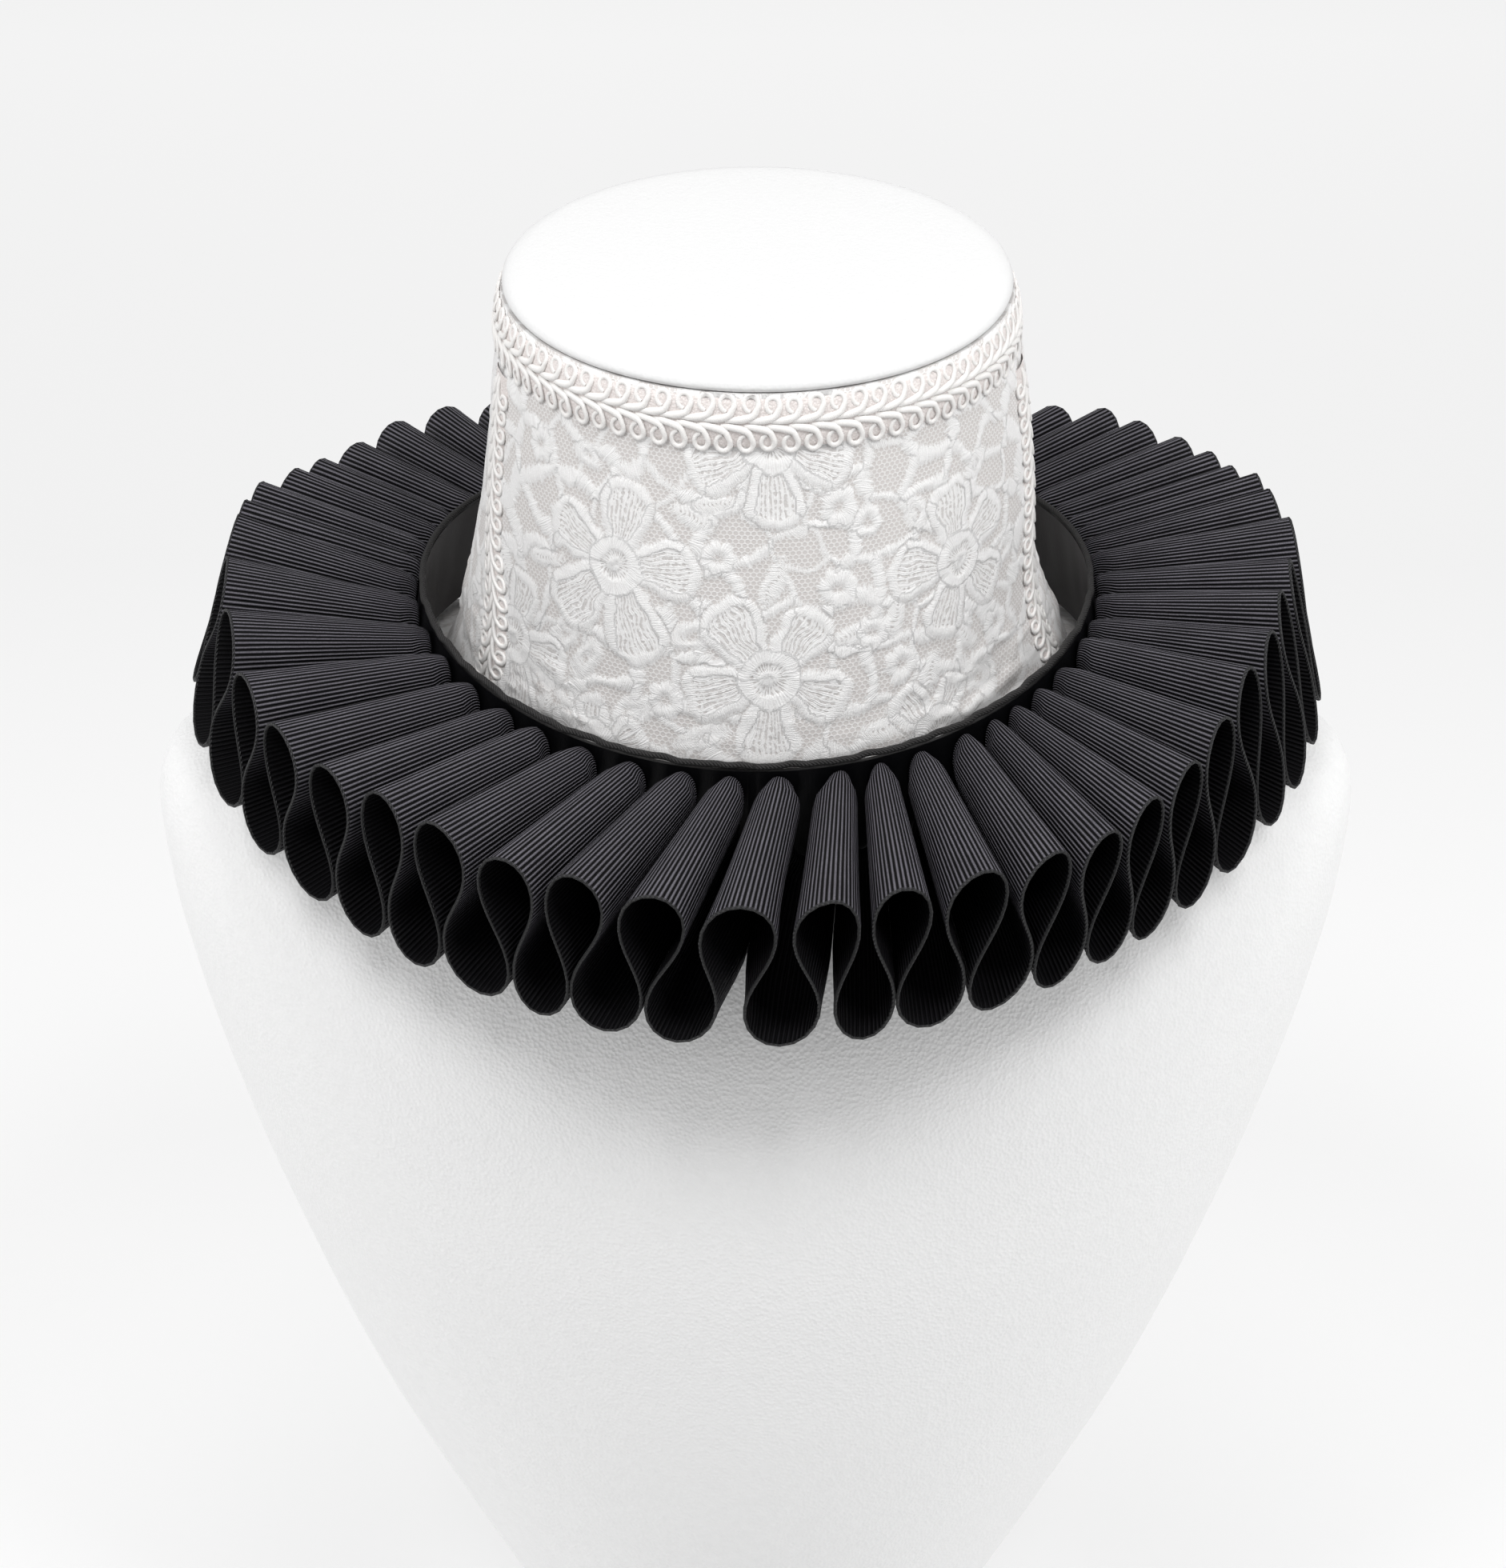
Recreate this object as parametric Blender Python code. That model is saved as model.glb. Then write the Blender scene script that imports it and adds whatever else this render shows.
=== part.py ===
"""Pleated ruff collar with a lace neckpiece, standing on a smooth display bust.

Metres, +Z up, front towards -Y. The origin is the middle of the bust's underside.
Every piece is one closed wall: rings and sections are worked out from the sizes below,
and what lies on a surface is made from that surface's points, moved out.
"""
import math
from collections import namedtuple

import bmesh
import bpy
from mathutils import Vector

MM = 0.001

# Heights. Table heights below are measured from the ruff's middle plane.
RUFF_PLANE = 355.0            # mm above the underside of the bust
SEAM_GAP = 0.3                # between pieces that are sewn or laid together

# The ruff: one gathered ribbon, 50 mm wide, in upright figure-eight pleats
RIBBON_THICKNESS = 1.0
RIM_RADIUS = 132.5            # upper folds, at the outer selvedge
LOW_RIM_RADIUS = 136.5        # lower folds stand a little further out
LOW_RIM_SPREAD = 6.5          # more at the sides, less at front and back
INNER_SECTION = 0.12          # where the rounded inner end meets the straight tube
SEWN_HEIGHT = 25.0            # height of the open tubes where they meet the band
SEWN_DROP = 2.5               # of their upper folds below the band's top edge
INNER_HEIGHT_SHARE = 0.78     # the sewn ends are pinched to this share of the tube height
POINTS_PER_PLEAT = 14
FIRST_FOLD = -175.5           # degrees: the upper fold next to the ribbon's join at the back
OPEN_SWING = 117.0            # degrees that the ribbon turns each way from level, open pleats
SEWN_SWING = 104.0            # the same at the sewn ends
UPPER_PULL = 0.03             # share of a pleat that its walls lean in, which parts the upper folds
NECK_GAP = 0.5                # between the two walls under an upper fold, where they are closest
PARTING_FROM = 0.5            # share of the ribbon's width where a parting starts to open

# Neckband
BAND_TOP = (82.8, 78.9, 82.0)       # half width, front depth, back depth, inside
BAND_BOTTOM = (87.0, 79.8, 84.0)
BAND_HEIGHT = 29.5
BAND_THICKNESS = 1.4
BINDING_HEIGHT = 1.9
BINDING_WIDTH = 2.2
BAND_COLUMNS = 52

# Lace neckpiece and its gimp braid
LACE_THICKNESS = 1.4
LACE_RELIEF = 1.0
LACE_TOP = 83.5
SIDE_SEAMS = (-69.0, 78.0)    # degrees round from the front
BRAID_WIDTH = 14.5
BRAID_THICKNESS = 1.6
BRAID_GROOVE = 0.7
SIDE_BRAID_SPAN = 10.5        # degrees of the neck that a side braid covers

BUST_COLUMNS = 48

BLACK_RIBBON = ("black_grosgrain", (0.020, 0.020, 0.024, 1.0), 0.75)
BLACK_SATIN = ("black_satin", (0.014, 0.014, 0.017, 1.0), 0.45)
WHITE_LACE = ("white_lace", (0.83, 0.82, 0.80, 1.0), 0.85)
WHITE_CORD = ("white_gimp_cord", (0.88, 0.87, 0.85, 1.0), 0.45)
WHITE_BUST = ("white_leatherette", (0.86, 0.86, 0.86, 1.0), 0.5)

# One row for each horizontal section of the bust, from its base to its neck.
# core: half width of the rounded body; width: half width out on the shoulder ridge.
Section = namedtuple("Section", "height core width front back")
BUST_SECTIONS = (
    Section(-355.0, 46.0, 46.0, 49.0, 44.0),
    Section(-353.0, 48.5, 48.5, 51.5, 46.0),
    Section(-320.0, 64.5, 64.5, 67.5, 55.0),
    Section(-270.0, 88.5, 88.5, 85.0, 64.0),
    Section(-225.0, 109.0, 109.0, 97.0, 71.0),
    Section(-180.0, 125.5, 125.5, 104.0, 77.0),
    Section(-140.0, 138.0, 138.0, 107.0, 81.0),
    Section(-105.0, 146.0, 147.0, 106.0, 88.0),
    Section(-80.0, 145.0, 152.0, 102.0, 91.0),
    Section(-60.0, 133.0, 154.0, 94.0, 91.0),
    Section(-48.0, 115.0, 151.0, 86.0, 89.0),
    Section(-42.0, 102.0, 141.0, 81.5, 87.0),
    Section(-38.0, 93.0, 128.0, 78.8, 84.5),
    Section(-34.5, 84.0, 112.0, 77.6, 81.5),
    Section(-31.0, 78.5, 93.5, 77.2, 78.5),
    Section(-28.0, 75.0, 84.5, 77.0, 75.5),
    Section(-24.0, 73.3, 79.5, 76.9, 73.3),
    Section(-18.0, 71.8, 75.5, 76.9, 72.0),
    Section(-12.0, 70.5, 72.0, 76.9, 71.0),
    Section(-5.0, 69.0, 69.2, 76.7, 70.0),
    Section(7.0, 67.0, 67.0, 74.0, 68.2),
    Section(29.0, 65.0, 65.0, 69.5, 65.8),
    Section(51.0, 63.2, 63.2, 65.3, 63.5),
    Section(83.5, 59.9, 59.9, 59.9, 59.9),
    Section(83.9, 59.9, 59.9, 59.9, 59.9),
    Section(84.4, 60.7, 60.7, 60.7, 60.7),
    Section(85.1, 60.5, 60.5, 60.5, 60.5),
    Section(85.5, 59.4, 59.4, 59.4, 59.4),
)
SHOULDER_RIDGE_POWER = 3
LACE_HEM = -34.5              # lowest bust section that the neckpiece covers
SIDE_BRAID_HEM = -28.0        # lowest bust section that the side braids cover
LACE_FRONT_COLUMNS = 34
LACE_BACK_COLUMNS = 26
LACE_EVEN_FROM = 7.0          # between these heights the panels' rows are evenly spaced
LACE_EVEN_TO = 66.0           # just under the neck-edge braid, where the relief has faded out
LACE_FRONT_ROWS = 12
LACE_BACK_ROWS = 7

# One row for each pleat, going round from FIRST_FOLD by way of the front. A lower fold lies
# after each upper fold.
# step: degrees at the rim from its upper fold to the next one
# lift, reach: mm that its upper fold stands high and out at the rim
# parting: mm that its walls stand apart below, at the rim, on top of NECK_GAP
# lean: degrees that its lower fold hangs on from the middle of the step
# twist: degrees that its inner end is sewn on from its rim
Pleat = namedtuple("Pleat", "step lift reach parting lean twist")
BACK_PLEAT = Pleat(7.0, 0.0, 0.0, 0.0, 0.0, 3.0)
PLEATS = (BACK_PLEAT,) * 5 + (
    Pleat(8.0, 0.0, 1.0, 0.0, 0.0, 4.0), Pleat(7.5, -1.0, 0.0, 0.0, 0.0, 4.0),
    Pleat(7.5, -3.0, -2.0, 0.0, 0.0, 4.5), Pleat(5.0, -3.0, -2.5, 0.0, 0.0, 5.0),
    Pleat(7.5, -2.0, -2.0, 0.0, 0.0, 5.5), Pleat(5.0, 0.0, 0.0, 0.0, 0.0, 4.5),
    Pleat(4.5, 0.0, 0.0, 0.0, 0.0, 5.0), Pleat(10.0, 1.0, -1.0, 0.0, 0.5, 7.0),
    Pleat(11.0, 0.0, -1.0, 0.0, 2.0, 5.0), Pleat(10.5, 0.0, 0.0, 0.0, 1.75, 3.5),
    Pleat(8.0, -1.5, 2.5, 0.0, 1.25, 1.5), Pleat(8.0, -2.0, 3.0, 0.0, 1.75, 2.5),
    Pleat(7.0, -1.5, 1.5, 0.0, 1.75, 3.5), Pleat(7.0, 0.5, -0.5, 0.0, 1.25, 3.5),
    Pleat(8.5, 1.0, -1.0, 0.0, 1.0, 5.5), Pleat(7.0, 0.5, -0.5, 0.0, -0.25, 5.5),
    Pleat(8.5, 1.5, -1.5, 0.0, -1.25, 7.0), Pleat(8.5, 1.0, -1.0, 0.0, -2.25, 6.0),
    Pleat(9.0, 0.5, -0.5, 6.0, -0.5, 5.0), Pleat(7.0, 1.0, -0.5, 3.0, 0.0, 6.0),
    Pleat(8.5, 1.0, -1.0, 0.0, -0.75, 5.5), Pleat(8.0, 0.0, -0.5, 0.0, -2.5, 4.0),
    Pleat(6.0, -2.0, 0.5, 0.0, -2.75, 4.5), Pleat(6.0, -3.0, 2.0, 0.0, -2.5, 4.5),
    Pleat(6.0, -2.0, 1.5, 0.0, -3.5, 3.5), Pleat(6.5, -1.0, 1.5, 0.0, -3.25, 3.5),
    Pleat(8.0, 0.5, 0.0, 0.0, -3.75, 3.5), Pleat(7.0, 2.0, -2.0, 0.0, -3.0, 5.5),
    Pleat(8.0, 1.5, -1.5, 0.0, -4.25, 4.0), Pleat(7.0, 1.5, -2.0, 0.0, -4.0, 4.0),
    Pleat(9.0, 0.5, 0.0, 0.0, -3.75, 4.5), Pleat(7.5, 1.5, 2.5, 0.0, -3.5, 3.0),
    Pleat(4.5, 2.0, 1.5, 0.0, -2.0, 0.5), Pleat(4.5, 2.0, 2.0, 0.0, -1.0, 0.5),
    Pleat(5.0, 0.5, 0.0, 0.0, 0.0, 0.0), Pleat(6.0, 0.5, 0.5, 0.0, 0.0, 0.0),
    Pleat(7.5, 0.5, 0.5, 0.0, 0.0, 0.0), Pleat(6.0, 1.0, 1.0, 0.0, 0.0, 0.5),
    Pleat(6.5, 1.5, 2.5, 0.0, 0.0, 1.0), Pleat(7.5, 0.5, 0.5, 0.0, 0.0, 1.5),
) + (BACK_PLEAT,) * 5

# Five-petalled flowers of the lace, raised on the neckpiece.
# angle: degrees round from the front; height: mm; radius: mm; turn: degrees.
Flower = namedtuple("Flower", "angle height radius turn")
FLOWERS = (
    Flower(-30.0, 38.0, 23.0, 8.0),
    Flower(2.5, 15.5, 21.0, -90.0),
    Flower(46.0, 34.0, 20.0, 28.0),
    Flower(3.0, 72.0, 20.0, -90.0),
    Flower(-58.0, 8.0, 19.0, 0.0),
    Flower(-32.0, -8.0, 14.0, 30.0),
    Flower(38.0, -6.0, 15.0, 60.0),
    Flower(103.0, 44.0, 22.0, 10.0),
    Flower(132.0, 10.0, 21.0, -50.0),
    Flower(158.0, 48.0, 21.0, 30.0),
    Flower(186.0, 14.0, 22.0, -90.0),
    Flower(212.0, 46.0, 21.0, 0.0),
    Flower(240.0, 10.0, 21.0, 40.0),
    Flower(262.0, 46.0, 20.0, 70.0),
)
PETALS = 5


# ---------------------------------------------------------------- shared helpers

def blend(start, end, share):
    return start + (end - start) * share


def smooth(share):
    share = min(max(share, 0.0), 1.0)
    return share * share * (3.0 - 2.0 * share)


def ring_point(angle, half_width, front, back):
    """Point of an oval ring: angle 0 is the front, and +90 degrees is at +X."""
    depth = front if math.cos(angle) > 0.0 else back
    return half_width * math.sin(angle), -depth * math.cos(angle)


def spread(start, end, count):
    return [blend(start, end, step / (count - 1)) for step in range(count)]


def full_turn(columns):
    return [2.0 * math.pi * step / columns for step in range(columns)]


def make_material(spec):
    name, colour, roughness = spec
    material = bpy.data.materials.get(name)
    if material is None:
        material = bpy.data.materials.new(name)
        material.use_nodes = True
        shader = material.node_tree.nodes["Principled BSDF"]
        shader.inputs["Base Color"].default_value = colour
        shader.inputs["Roughness"].default_value = roughness
        shader.inputs["Metallic"].default_value = 0.0
    return material


def make_object(name, build, spec):
    """Turn what build(mesh) adds to a bmesh, in mm, into one closed body in metres."""
    shape = bmesh.new()
    build(shape)
    bmesh.ops.scale(shape, vec=(MM, MM, MM), verts=shape.verts)
    bmesh.ops.translate(shape, vec=(0.0, 0.0, RUFF_PLANE * MM), verts=shape.verts)
    bmesh.ops.recalc_face_normals(shape, faces=shape.faces)
    mesh = bpy.data.meshes.new(name)
    shape.to_mesh(mesh)
    shape.free()
    mesh.shade_smooth()
    mesh.set_sharp_from_angle(angle=math.radians(40.0))
    mesh.materials.append(make_material(spec))
    bpy.context.scene.collection.objects.link(bpy.data.objects.new(name, mesh))


def add_rows(shape, rows):
    return [[shape.verts.new(point) for point in row] for row in rows]


def skin(shape, rows, closed):
    """Quads between neighbouring rows."""
    columns = len(rows[0])
    last = columns if closed else columns - 1
    for low, high in zip(rows, rows[1:]):
        for left in range(last):
            right = (left + 1) % columns
            shape.faces.new((low[left], low[right], high[right], high[left]))


def add_wall(shape, outer, inner, closed, paired=1):
    """A wall of cloth: two skins whose first rows and last rows are joined.

    paired: how many of the first rows of the two skins are at the same heights.
    """
    outer, inner = add_rows(shape, outer), add_rows(shape, inner)
    skin(shape, outer, closed)
    skin(shape, inner, closed)
    skin(shape, (outer[0], inner[0]), closed)
    skin(shape, (outer[-1], inner[-1]), closed)
    if not closed:
        for column in (0, -1):
            face, back = [row[column] for row in outer], [row[column] for row in inner]
            for row in range(paired - 1):
                shape.faces.new((face[row], face[row + 1], back[row + 1], back[row]))
            if len(face) > paired:
                shape.faces.new(face[paired - 1:] + back[paired - 1:][::-1])


# ---------------------------------------------------------------- bust

def bust_section(height):
    """Section of the bust at any height, straight between the table's rows."""
    for low, high in zip(BUST_SECTIONS, BUST_SECTIONS[1:]):
        if low.height <= height <= high.height:
            share = (height - low.height) / (high.height - low.height)
            return Section(*(blend(a, b, share) for a, b in zip(low, high)))
    raise ValueError("height outside the bust")


def bust_point(angle, height):
    row = bust_section(height)
    ridge = abs(math.sin(angle)) ** SHOULDER_RIDGE_POWER
    half_width = blend(row.core, row.width, ridge)
    x, y = ring_point(angle, half_width, row.front, row.back)
    return Vector((x, y, height))


def build_bust(shape):
    angles = full_turn(BUST_COLUMNS)
    rows = add_rows(shape, [[bust_point(angle, row.height) for angle in angles]
                            for row in BUST_SECTIONS])
    skin(shape, rows, closed=True)
    shape.faces.new(rows[0])
    shape.faces.new(rows[-1])


def neck_surface_point(angle, height, distance):
    """Point at a distance out from the bust's neck, square to its surface."""
    step_angle, step_height = math.radians(2.0), 1.5
    low, high = BUST_SECTIONS[0].height, LACE_TOP
    along = bust_point(angle + step_angle, height) - bust_point(angle - step_angle, height)
    up = (bust_point(angle, min(height + step_height, high))
          - bust_point(angle, max(height - step_height, low)))
    return bust_point(angle, height) + along.cross(up).normalized() * distance


# ---------------------------------------------------------------- lace neckpiece

def flower_relief(angle, height):
    """0 to 1: how far a point of the lace is inside the nearest raised petal."""
    best = 0.0
    for flower in FLOWERS:
        turn_apart = (angle - math.radians(flower.angle) + math.pi) % (2.0 * math.pi) - math.pi
        across = turn_apart * bust_section(height).core
        up = height - flower.height
        reach = math.hypot(across, up)
        direction = math.atan2(up, across) - math.radians(flower.turn)
        petal = 0.62 + 0.38 * abs(math.cos(direction * PETALS / 2.0))
        best = max(best, smooth((flower.radius * petal - reach) / 4.0))
    return best


def relief_share(angle, height, half_span, middle):
    """Relief fades out under the braids, the neckband and at the panel's edges."""
    to_edge = (half_span - abs(angle - middle)) / math.radians(6.0)
    below_braid = (LACE_EVEN_TO - height) / 3.0
    above_band = (height - 2.0) / 4.0
    return min(smooth(to_edge - 1.0), smooth(below_braid), smooth(above_band))


def build_lace_panel(start, end, columns, rows):
    def build(shape):
        angles = spread(start, end, columns)
        middle, half_span = (start + end) / 2.0, (end - start) / 2.0
        base = SEAM_GAP + LACE_THICKNESS
        flare = [row.height for row in BUST_SECTIONS if LACE_HEM <= row.height < LACE_EVEN_FROM]
        outer = []
        for height in flare + spread(LACE_EVEN_FROM, LACE_EVEN_TO, rows) + [LACE_TOP]:
            row = []
            for angle in angles:
                raised = LACE_RELIEF * flower_relief(angle, height)
                raised *= relief_share(angle, height, half_span, middle)
                row.append(neck_surface_point(angle, height, base + raised))
            outer.append(row)
        inner = [[neck_surface_point(angle, row.height, SEAM_GAP) for angle in angles]
                 for row in BUST_SECTIONS if LACE_HEM <= row.height <= LACE_TOP]
        add_wall(shape, outer, inner, closed=False, paired=len(flare) + 1)
    return build


def braid_rows(angles, low, high, ridged):
    """Inner and outer rows of a braid: two rounded rows of loops with a groove between."""
    lift = SEAM_GAP * 2.0 + LACE_THICKNESS
    profile = (0.6, 1.0, 1.0 - BRAID_GROOVE / BRAID_THICKNESS, 1.0, 0.6) if ridged else (1.0, 1.0)
    outer = [[neck_surface_point(angle, height, lift + BRAID_THICKNESS * share)
              for angle in angles]
             for height, share in zip(spread(low, high, len(profile)), profile)]
    inner = [[neck_surface_point(angle, height, lift) for angle in angles]
             for height in (low, high)]
    return outer, inner


def build_top_braid(shape):
    outer, inner = braid_rows(full_turn(BAND_COLUMNS), LACE_TOP - BRAID_WIDTH, LACE_TOP, True)
    add_wall(shape, outer, inner, closed=True)


def build_side_braid(seam):
    def build(shape):
        half = math.radians(SIDE_BRAID_SPAN / 2.0)
        profile = (0.6, 1.0, 1.0 - BRAID_GROOVE / BRAID_THICKNESS, 1.0, 0.6)
        lift = SEAM_GAP * 2.0 + LACE_THICKNESS
        angles = spread(seam - half, seam + half, len(profile))
        heights = [row.height for row in BUST_SECTIONS
                   if SIDE_BRAID_HEM <= row.height < LACE_TOP - BRAID_WIDTH]
        heights.append(LACE_TOP - BRAID_WIDTH - SEAM_GAP)
        outer = [[neck_surface_point(angle, height, lift + BRAID_THICKNESS * share)
                  for angle, share in zip(angles, profile)] for height in heights]
        inner = [[neck_surface_point(angle, height, lift) for angle in angles]
                 for height in heights]
        add_wall(shape, outer, inner, closed=False, paired=len(heights))
    return build


# ---------------------------------------------------------------- neckband

def band_top_height(angle):
    """The band rides up over the shoulders and dips at the front."""
    return 1.0 - 0.5 * math.cos(angle) - 4.0 * math.cos(2.0 * angle)


def band_point(angle, depth, distance):
    """Point of the band's inside, depth mm below its top edge, moved outwards."""
    share = depth / BAND_HEIGHT
    half_width, front, back = (blend(a, b, share) for a, b in zip(BAND_TOP, BAND_BOTTOM))
    x, y = ring_point(angle, half_width + distance, front + distance, back + distance)
    return Vector((x, y, band_top_height(angle) - depth))


def build_neckband(shape):
    angles = full_turn(BAND_COLUMNS)
    depths = spread(BAND_HEIGHT, BINDING_HEIGHT + SEAM_GAP, 3)
    outer = [[band_point(angle, depth, BAND_THICKNESS) for angle in angles] for depth in depths]
    inner = [[band_point(angle, depth, 0.0) for angle in angles] for depth in depths]
    add_wall(shape, outer, inner, closed=True)


def build_band_binding(shape):
    angles = full_turn(BAND_COLUMNS)
    middle, half = BAND_THICKNESS / 2.0, BINDING_WIDTH / 2.0
    outer = [[band_point(angle, depth, middle + half * share) for angle in angles]
             for depth, share in ((BINDING_HEIGHT, 0.8), (BINDING_HEIGHT / 2.0, 1.0), (0.0, 0.5))]
    inner = [[band_point(angle, depth, middle - half * share) for angle in angles]
             for depth, share in ((BINDING_HEIGHT, 0.6), (0.0, 0.5))]
    add_wall(shape, outer, inner, closed=True)


# ---------------------------------------------------------------- ruff

def rim_heights(angle):
    """Heights of the upper and lower folds at the outer selvedge."""
    upper = 1.5 * math.cos(angle) - 11.3 * math.cos(2.0 * angle)
    lower = -37.0 - math.cos(angle) - 11.0 * math.cos(2.0 * angle)
    return upper, lower


def inner_heights(angle):
    """Heights of the upper and lower folds where they are sewn to the band."""
    upper = band_top_height(angle) - SEWN_DROP
    return upper, upper - SEWN_HEIGHT


def fold_line(swing, points):
    """One pleat, as (run, level) at even lengths along the ribbon.

    The ribbon's direction swings to and fro like a winding river's. run goes from 0 to 1
    between neighbouring lower folds; level is -1 at these and 1 at the upper fold between.
    """
    fine = 24
    run, height, line = 0.0, 0.0, [(0.0, 0.0)]
    for step in range(points * fine):
        turn = (step + 0.5) / (points * fine)
        direction = math.radians(swing) * math.sin(2.0 * math.pi * turn)
        run += math.cos(direction)
        height += math.sin(direction)
        if (step + 1) % fine == 0:
            line.append((run, height))
    top = line[points // 2][1]
    return [(x / run, 2.0 * z / top - 1.0) for x, z in line]


# The neck of an open pleat is where its walls come closest, under the upper fold. There the
# ribbon is upright; swell and sag are how far along its rise and how far down it is.
NECK_RUN, NECK_LEVEL = max(fold_line(OPEN_SWING, 200)[:50])
NECK_SWELL = 90.0 / OPEN_SWING
NECK_SAG = (1.0 - NECK_LEVEL) / 2.0
NECK_HALF = 0.5 - NECK_RUN - UPPER_PULL * NECK_SWELL


def step_after(crests, index):
    """Angle from one upper fold to the next one round the ring."""
    return (crests[(index + 1) % len(crests)] - crests[index]) % (2.0 * math.pi)


def fold_angle(crests, leans, index, turn, bend, neck_width):
    """Angle round the ring of a point of one pleat, whose neck gets this width in radians.

    turn runs 0 to 1 from one lower fold, over the upper fold crests[index], to the next.
    """
    run, level = bend
    before, after = step_after(crests, index - 1), step_after(crests, index)
    step, lean = (before, leans[index - 1]) if turn < 0.5 else (after, leans[index])
    swell, sag = math.sin(2.0 * math.pi * turn), (1.0 - level) / 2.0
    natural = (before + after) * NECK_HALF + (leans[index] - leans[index - 1]) * NECK_SAG
    squeeze = (natural - neck_width) / 2.0 * swell * sag / (NECK_SWELL * NECK_SAG)
    return crests[index] + step * (run - 0.5 + UPPER_PULL * swell) + lean * sag + squeeze


def rim_point(angle, level, lift, reach):
    """Point of the outer selvedge."""
    sag = (1.0 - level) / 2.0
    upper, lower = rim_heights(angle)
    low_radius = LOW_RIM_RADIUS - LOW_RIM_SPREAD * math.cos(2.0 * angle)
    radius = blend(RIM_RADIUS + reach, low_radius, sag)
    return Vector((radius * math.sin(angle), -radius * math.cos(angle),
                   blend(upper + lift, lower, sag)))


def sewn_point(angle, level, opening):
    """Point of the inner selvedge, for a tube as open as it is at some share of its length."""
    upper, lower = inner_heights(angle)
    middle, half = (upper + lower) / 2.0, (upper - lower) / 2.0
    height = middle + level * half * blend(INNER_HEIGHT_SHARE, 1.0, opening)
    return band_point(angle, band_top_height(angle) - height, BAND_THICKNESS + SEAM_GAP)


def ribbon_row(share):
    """All middle points of the ribbon at one share of its width, from the band outwards."""
    rim, crest = [], FIRST_FOLD
    for pleat in PLEATS:
        rim.append(math.radians(crest))
        crest += pleat.step
    sewn = [angle + math.radians(pleat.twist) for angle, pleat in zip(rim, PLEATS)]
    leans = [math.radians(pleat.lean) for pleat in PLEATS]
    upright = [0.0] * len(PLEATS)
    opening = smooth(share / INNER_SECTION)
    line = fold_line(blend(SEWN_SWING, OPEN_SWING, opening), POINTS_PER_PLEAT)
    closest = RIBBON_THICKNESS + NECK_GAP
    row = []
    for index, pleat in enumerate(PLEATS):
        parting = pleat.parting * smooth((share - PARTING_FROM) / (1.0 - PARTING_FROM))
        for point in range(POINTS_PER_PLEAT):
            turn, bend = point / POINTS_PER_PLEAT, line[point]
            neighbour = PLEATS[index - 1] if turn < 0.5 else PLEATS[(index + 1) % len(PLEATS)]
            aside = abs(turn - 0.5)
            angle = fold_angle(sewn, upright, index, turn, bend, closest / BAND_TOP[0])
            inner = sewn_point(angle, bend[1], opening)
            angle = fold_angle(rim, leans, index, turn, bend, (closest + parting) / RIM_RADIUS)
            outer = rim_point(angle, bend[1], blend(pleat.lift, neighbour.lift, aside),
                              blend(pleat.reach, neighbour.reach, aside))
            row.append(inner.lerp(outer, share))
    return row


def offset_row(row, distance):
    """Move a closed row of points square to the folded ribbon, within its upright section."""
    moved = []
    for index, point in enumerate(row):
        along = row[(index + 1) % len(row)] - row[index - 1]
        radial = Vector((point.x, point.y, 0.0)).normalized()
        moved.append(point + radial.cross(along).normalized() * distance)
    return moved


def build_ruff(shape):
    half = RIBBON_THICKNESS / 2.0
    rows = [ribbon_row(share) for share in (0.0, INNER_SECTION, 1.0)]
    over = [offset_row(row, -half) for row in rows]
    under = [offset_row(row, half) for row in rows]
    add_wall(shape, over, under, closed=True)


# ---------------------------------------------------------------- the whole part

def build_part():
    for leftover in list(bpy.data.objects):
        bpy.data.objects.remove(leftover, do_unlink=True)
    left, right = (math.radians(seam) for seam in SIDE_SEAMS)
    half_gap = SEAM_GAP / bust_section(LACE_TOP).core / 2.0
    make_object("display_bust", build_bust, WHITE_BUST)
    make_object("lace_front", build_lace_panel(left + half_gap, right - half_gap,
                LACE_FRONT_COLUMNS, LACE_FRONT_ROWS), WHITE_LACE)
    make_object("lace_back", build_lace_panel(right + half_gap, left + 2.0 * math.pi - half_gap,
                LACE_BACK_COLUMNS, LACE_BACK_ROWS), WHITE_LACE)
    make_object("braid_neck_edge", build_top_braid, WHITE_CORD)
    make_object("braid_side_left", build_side_braid(left), WHITE_CORD)
    make_object("braid_side_right", build_side_braid(right), WHITE_CORD)
    make_object("neckband", build_neckband, BLACK_SATIN)
    make_object("neckband_binding", build_band_binding, BLACK_RIBBON)
    make_object("ruff_ribbon", build_ruff, BLACK_RIBBON)


build_part()
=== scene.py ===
"""Looks for the ruff collar on its display bust.

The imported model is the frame. Every piece here is worked out from the same sizes as the
solids, in mm, with heights measured from the ruff's middle plane, and then put in metres.
"""
import math

import bmesh
import bpy
import numpy as np
from mathutils import Matrix, Vector


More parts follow.
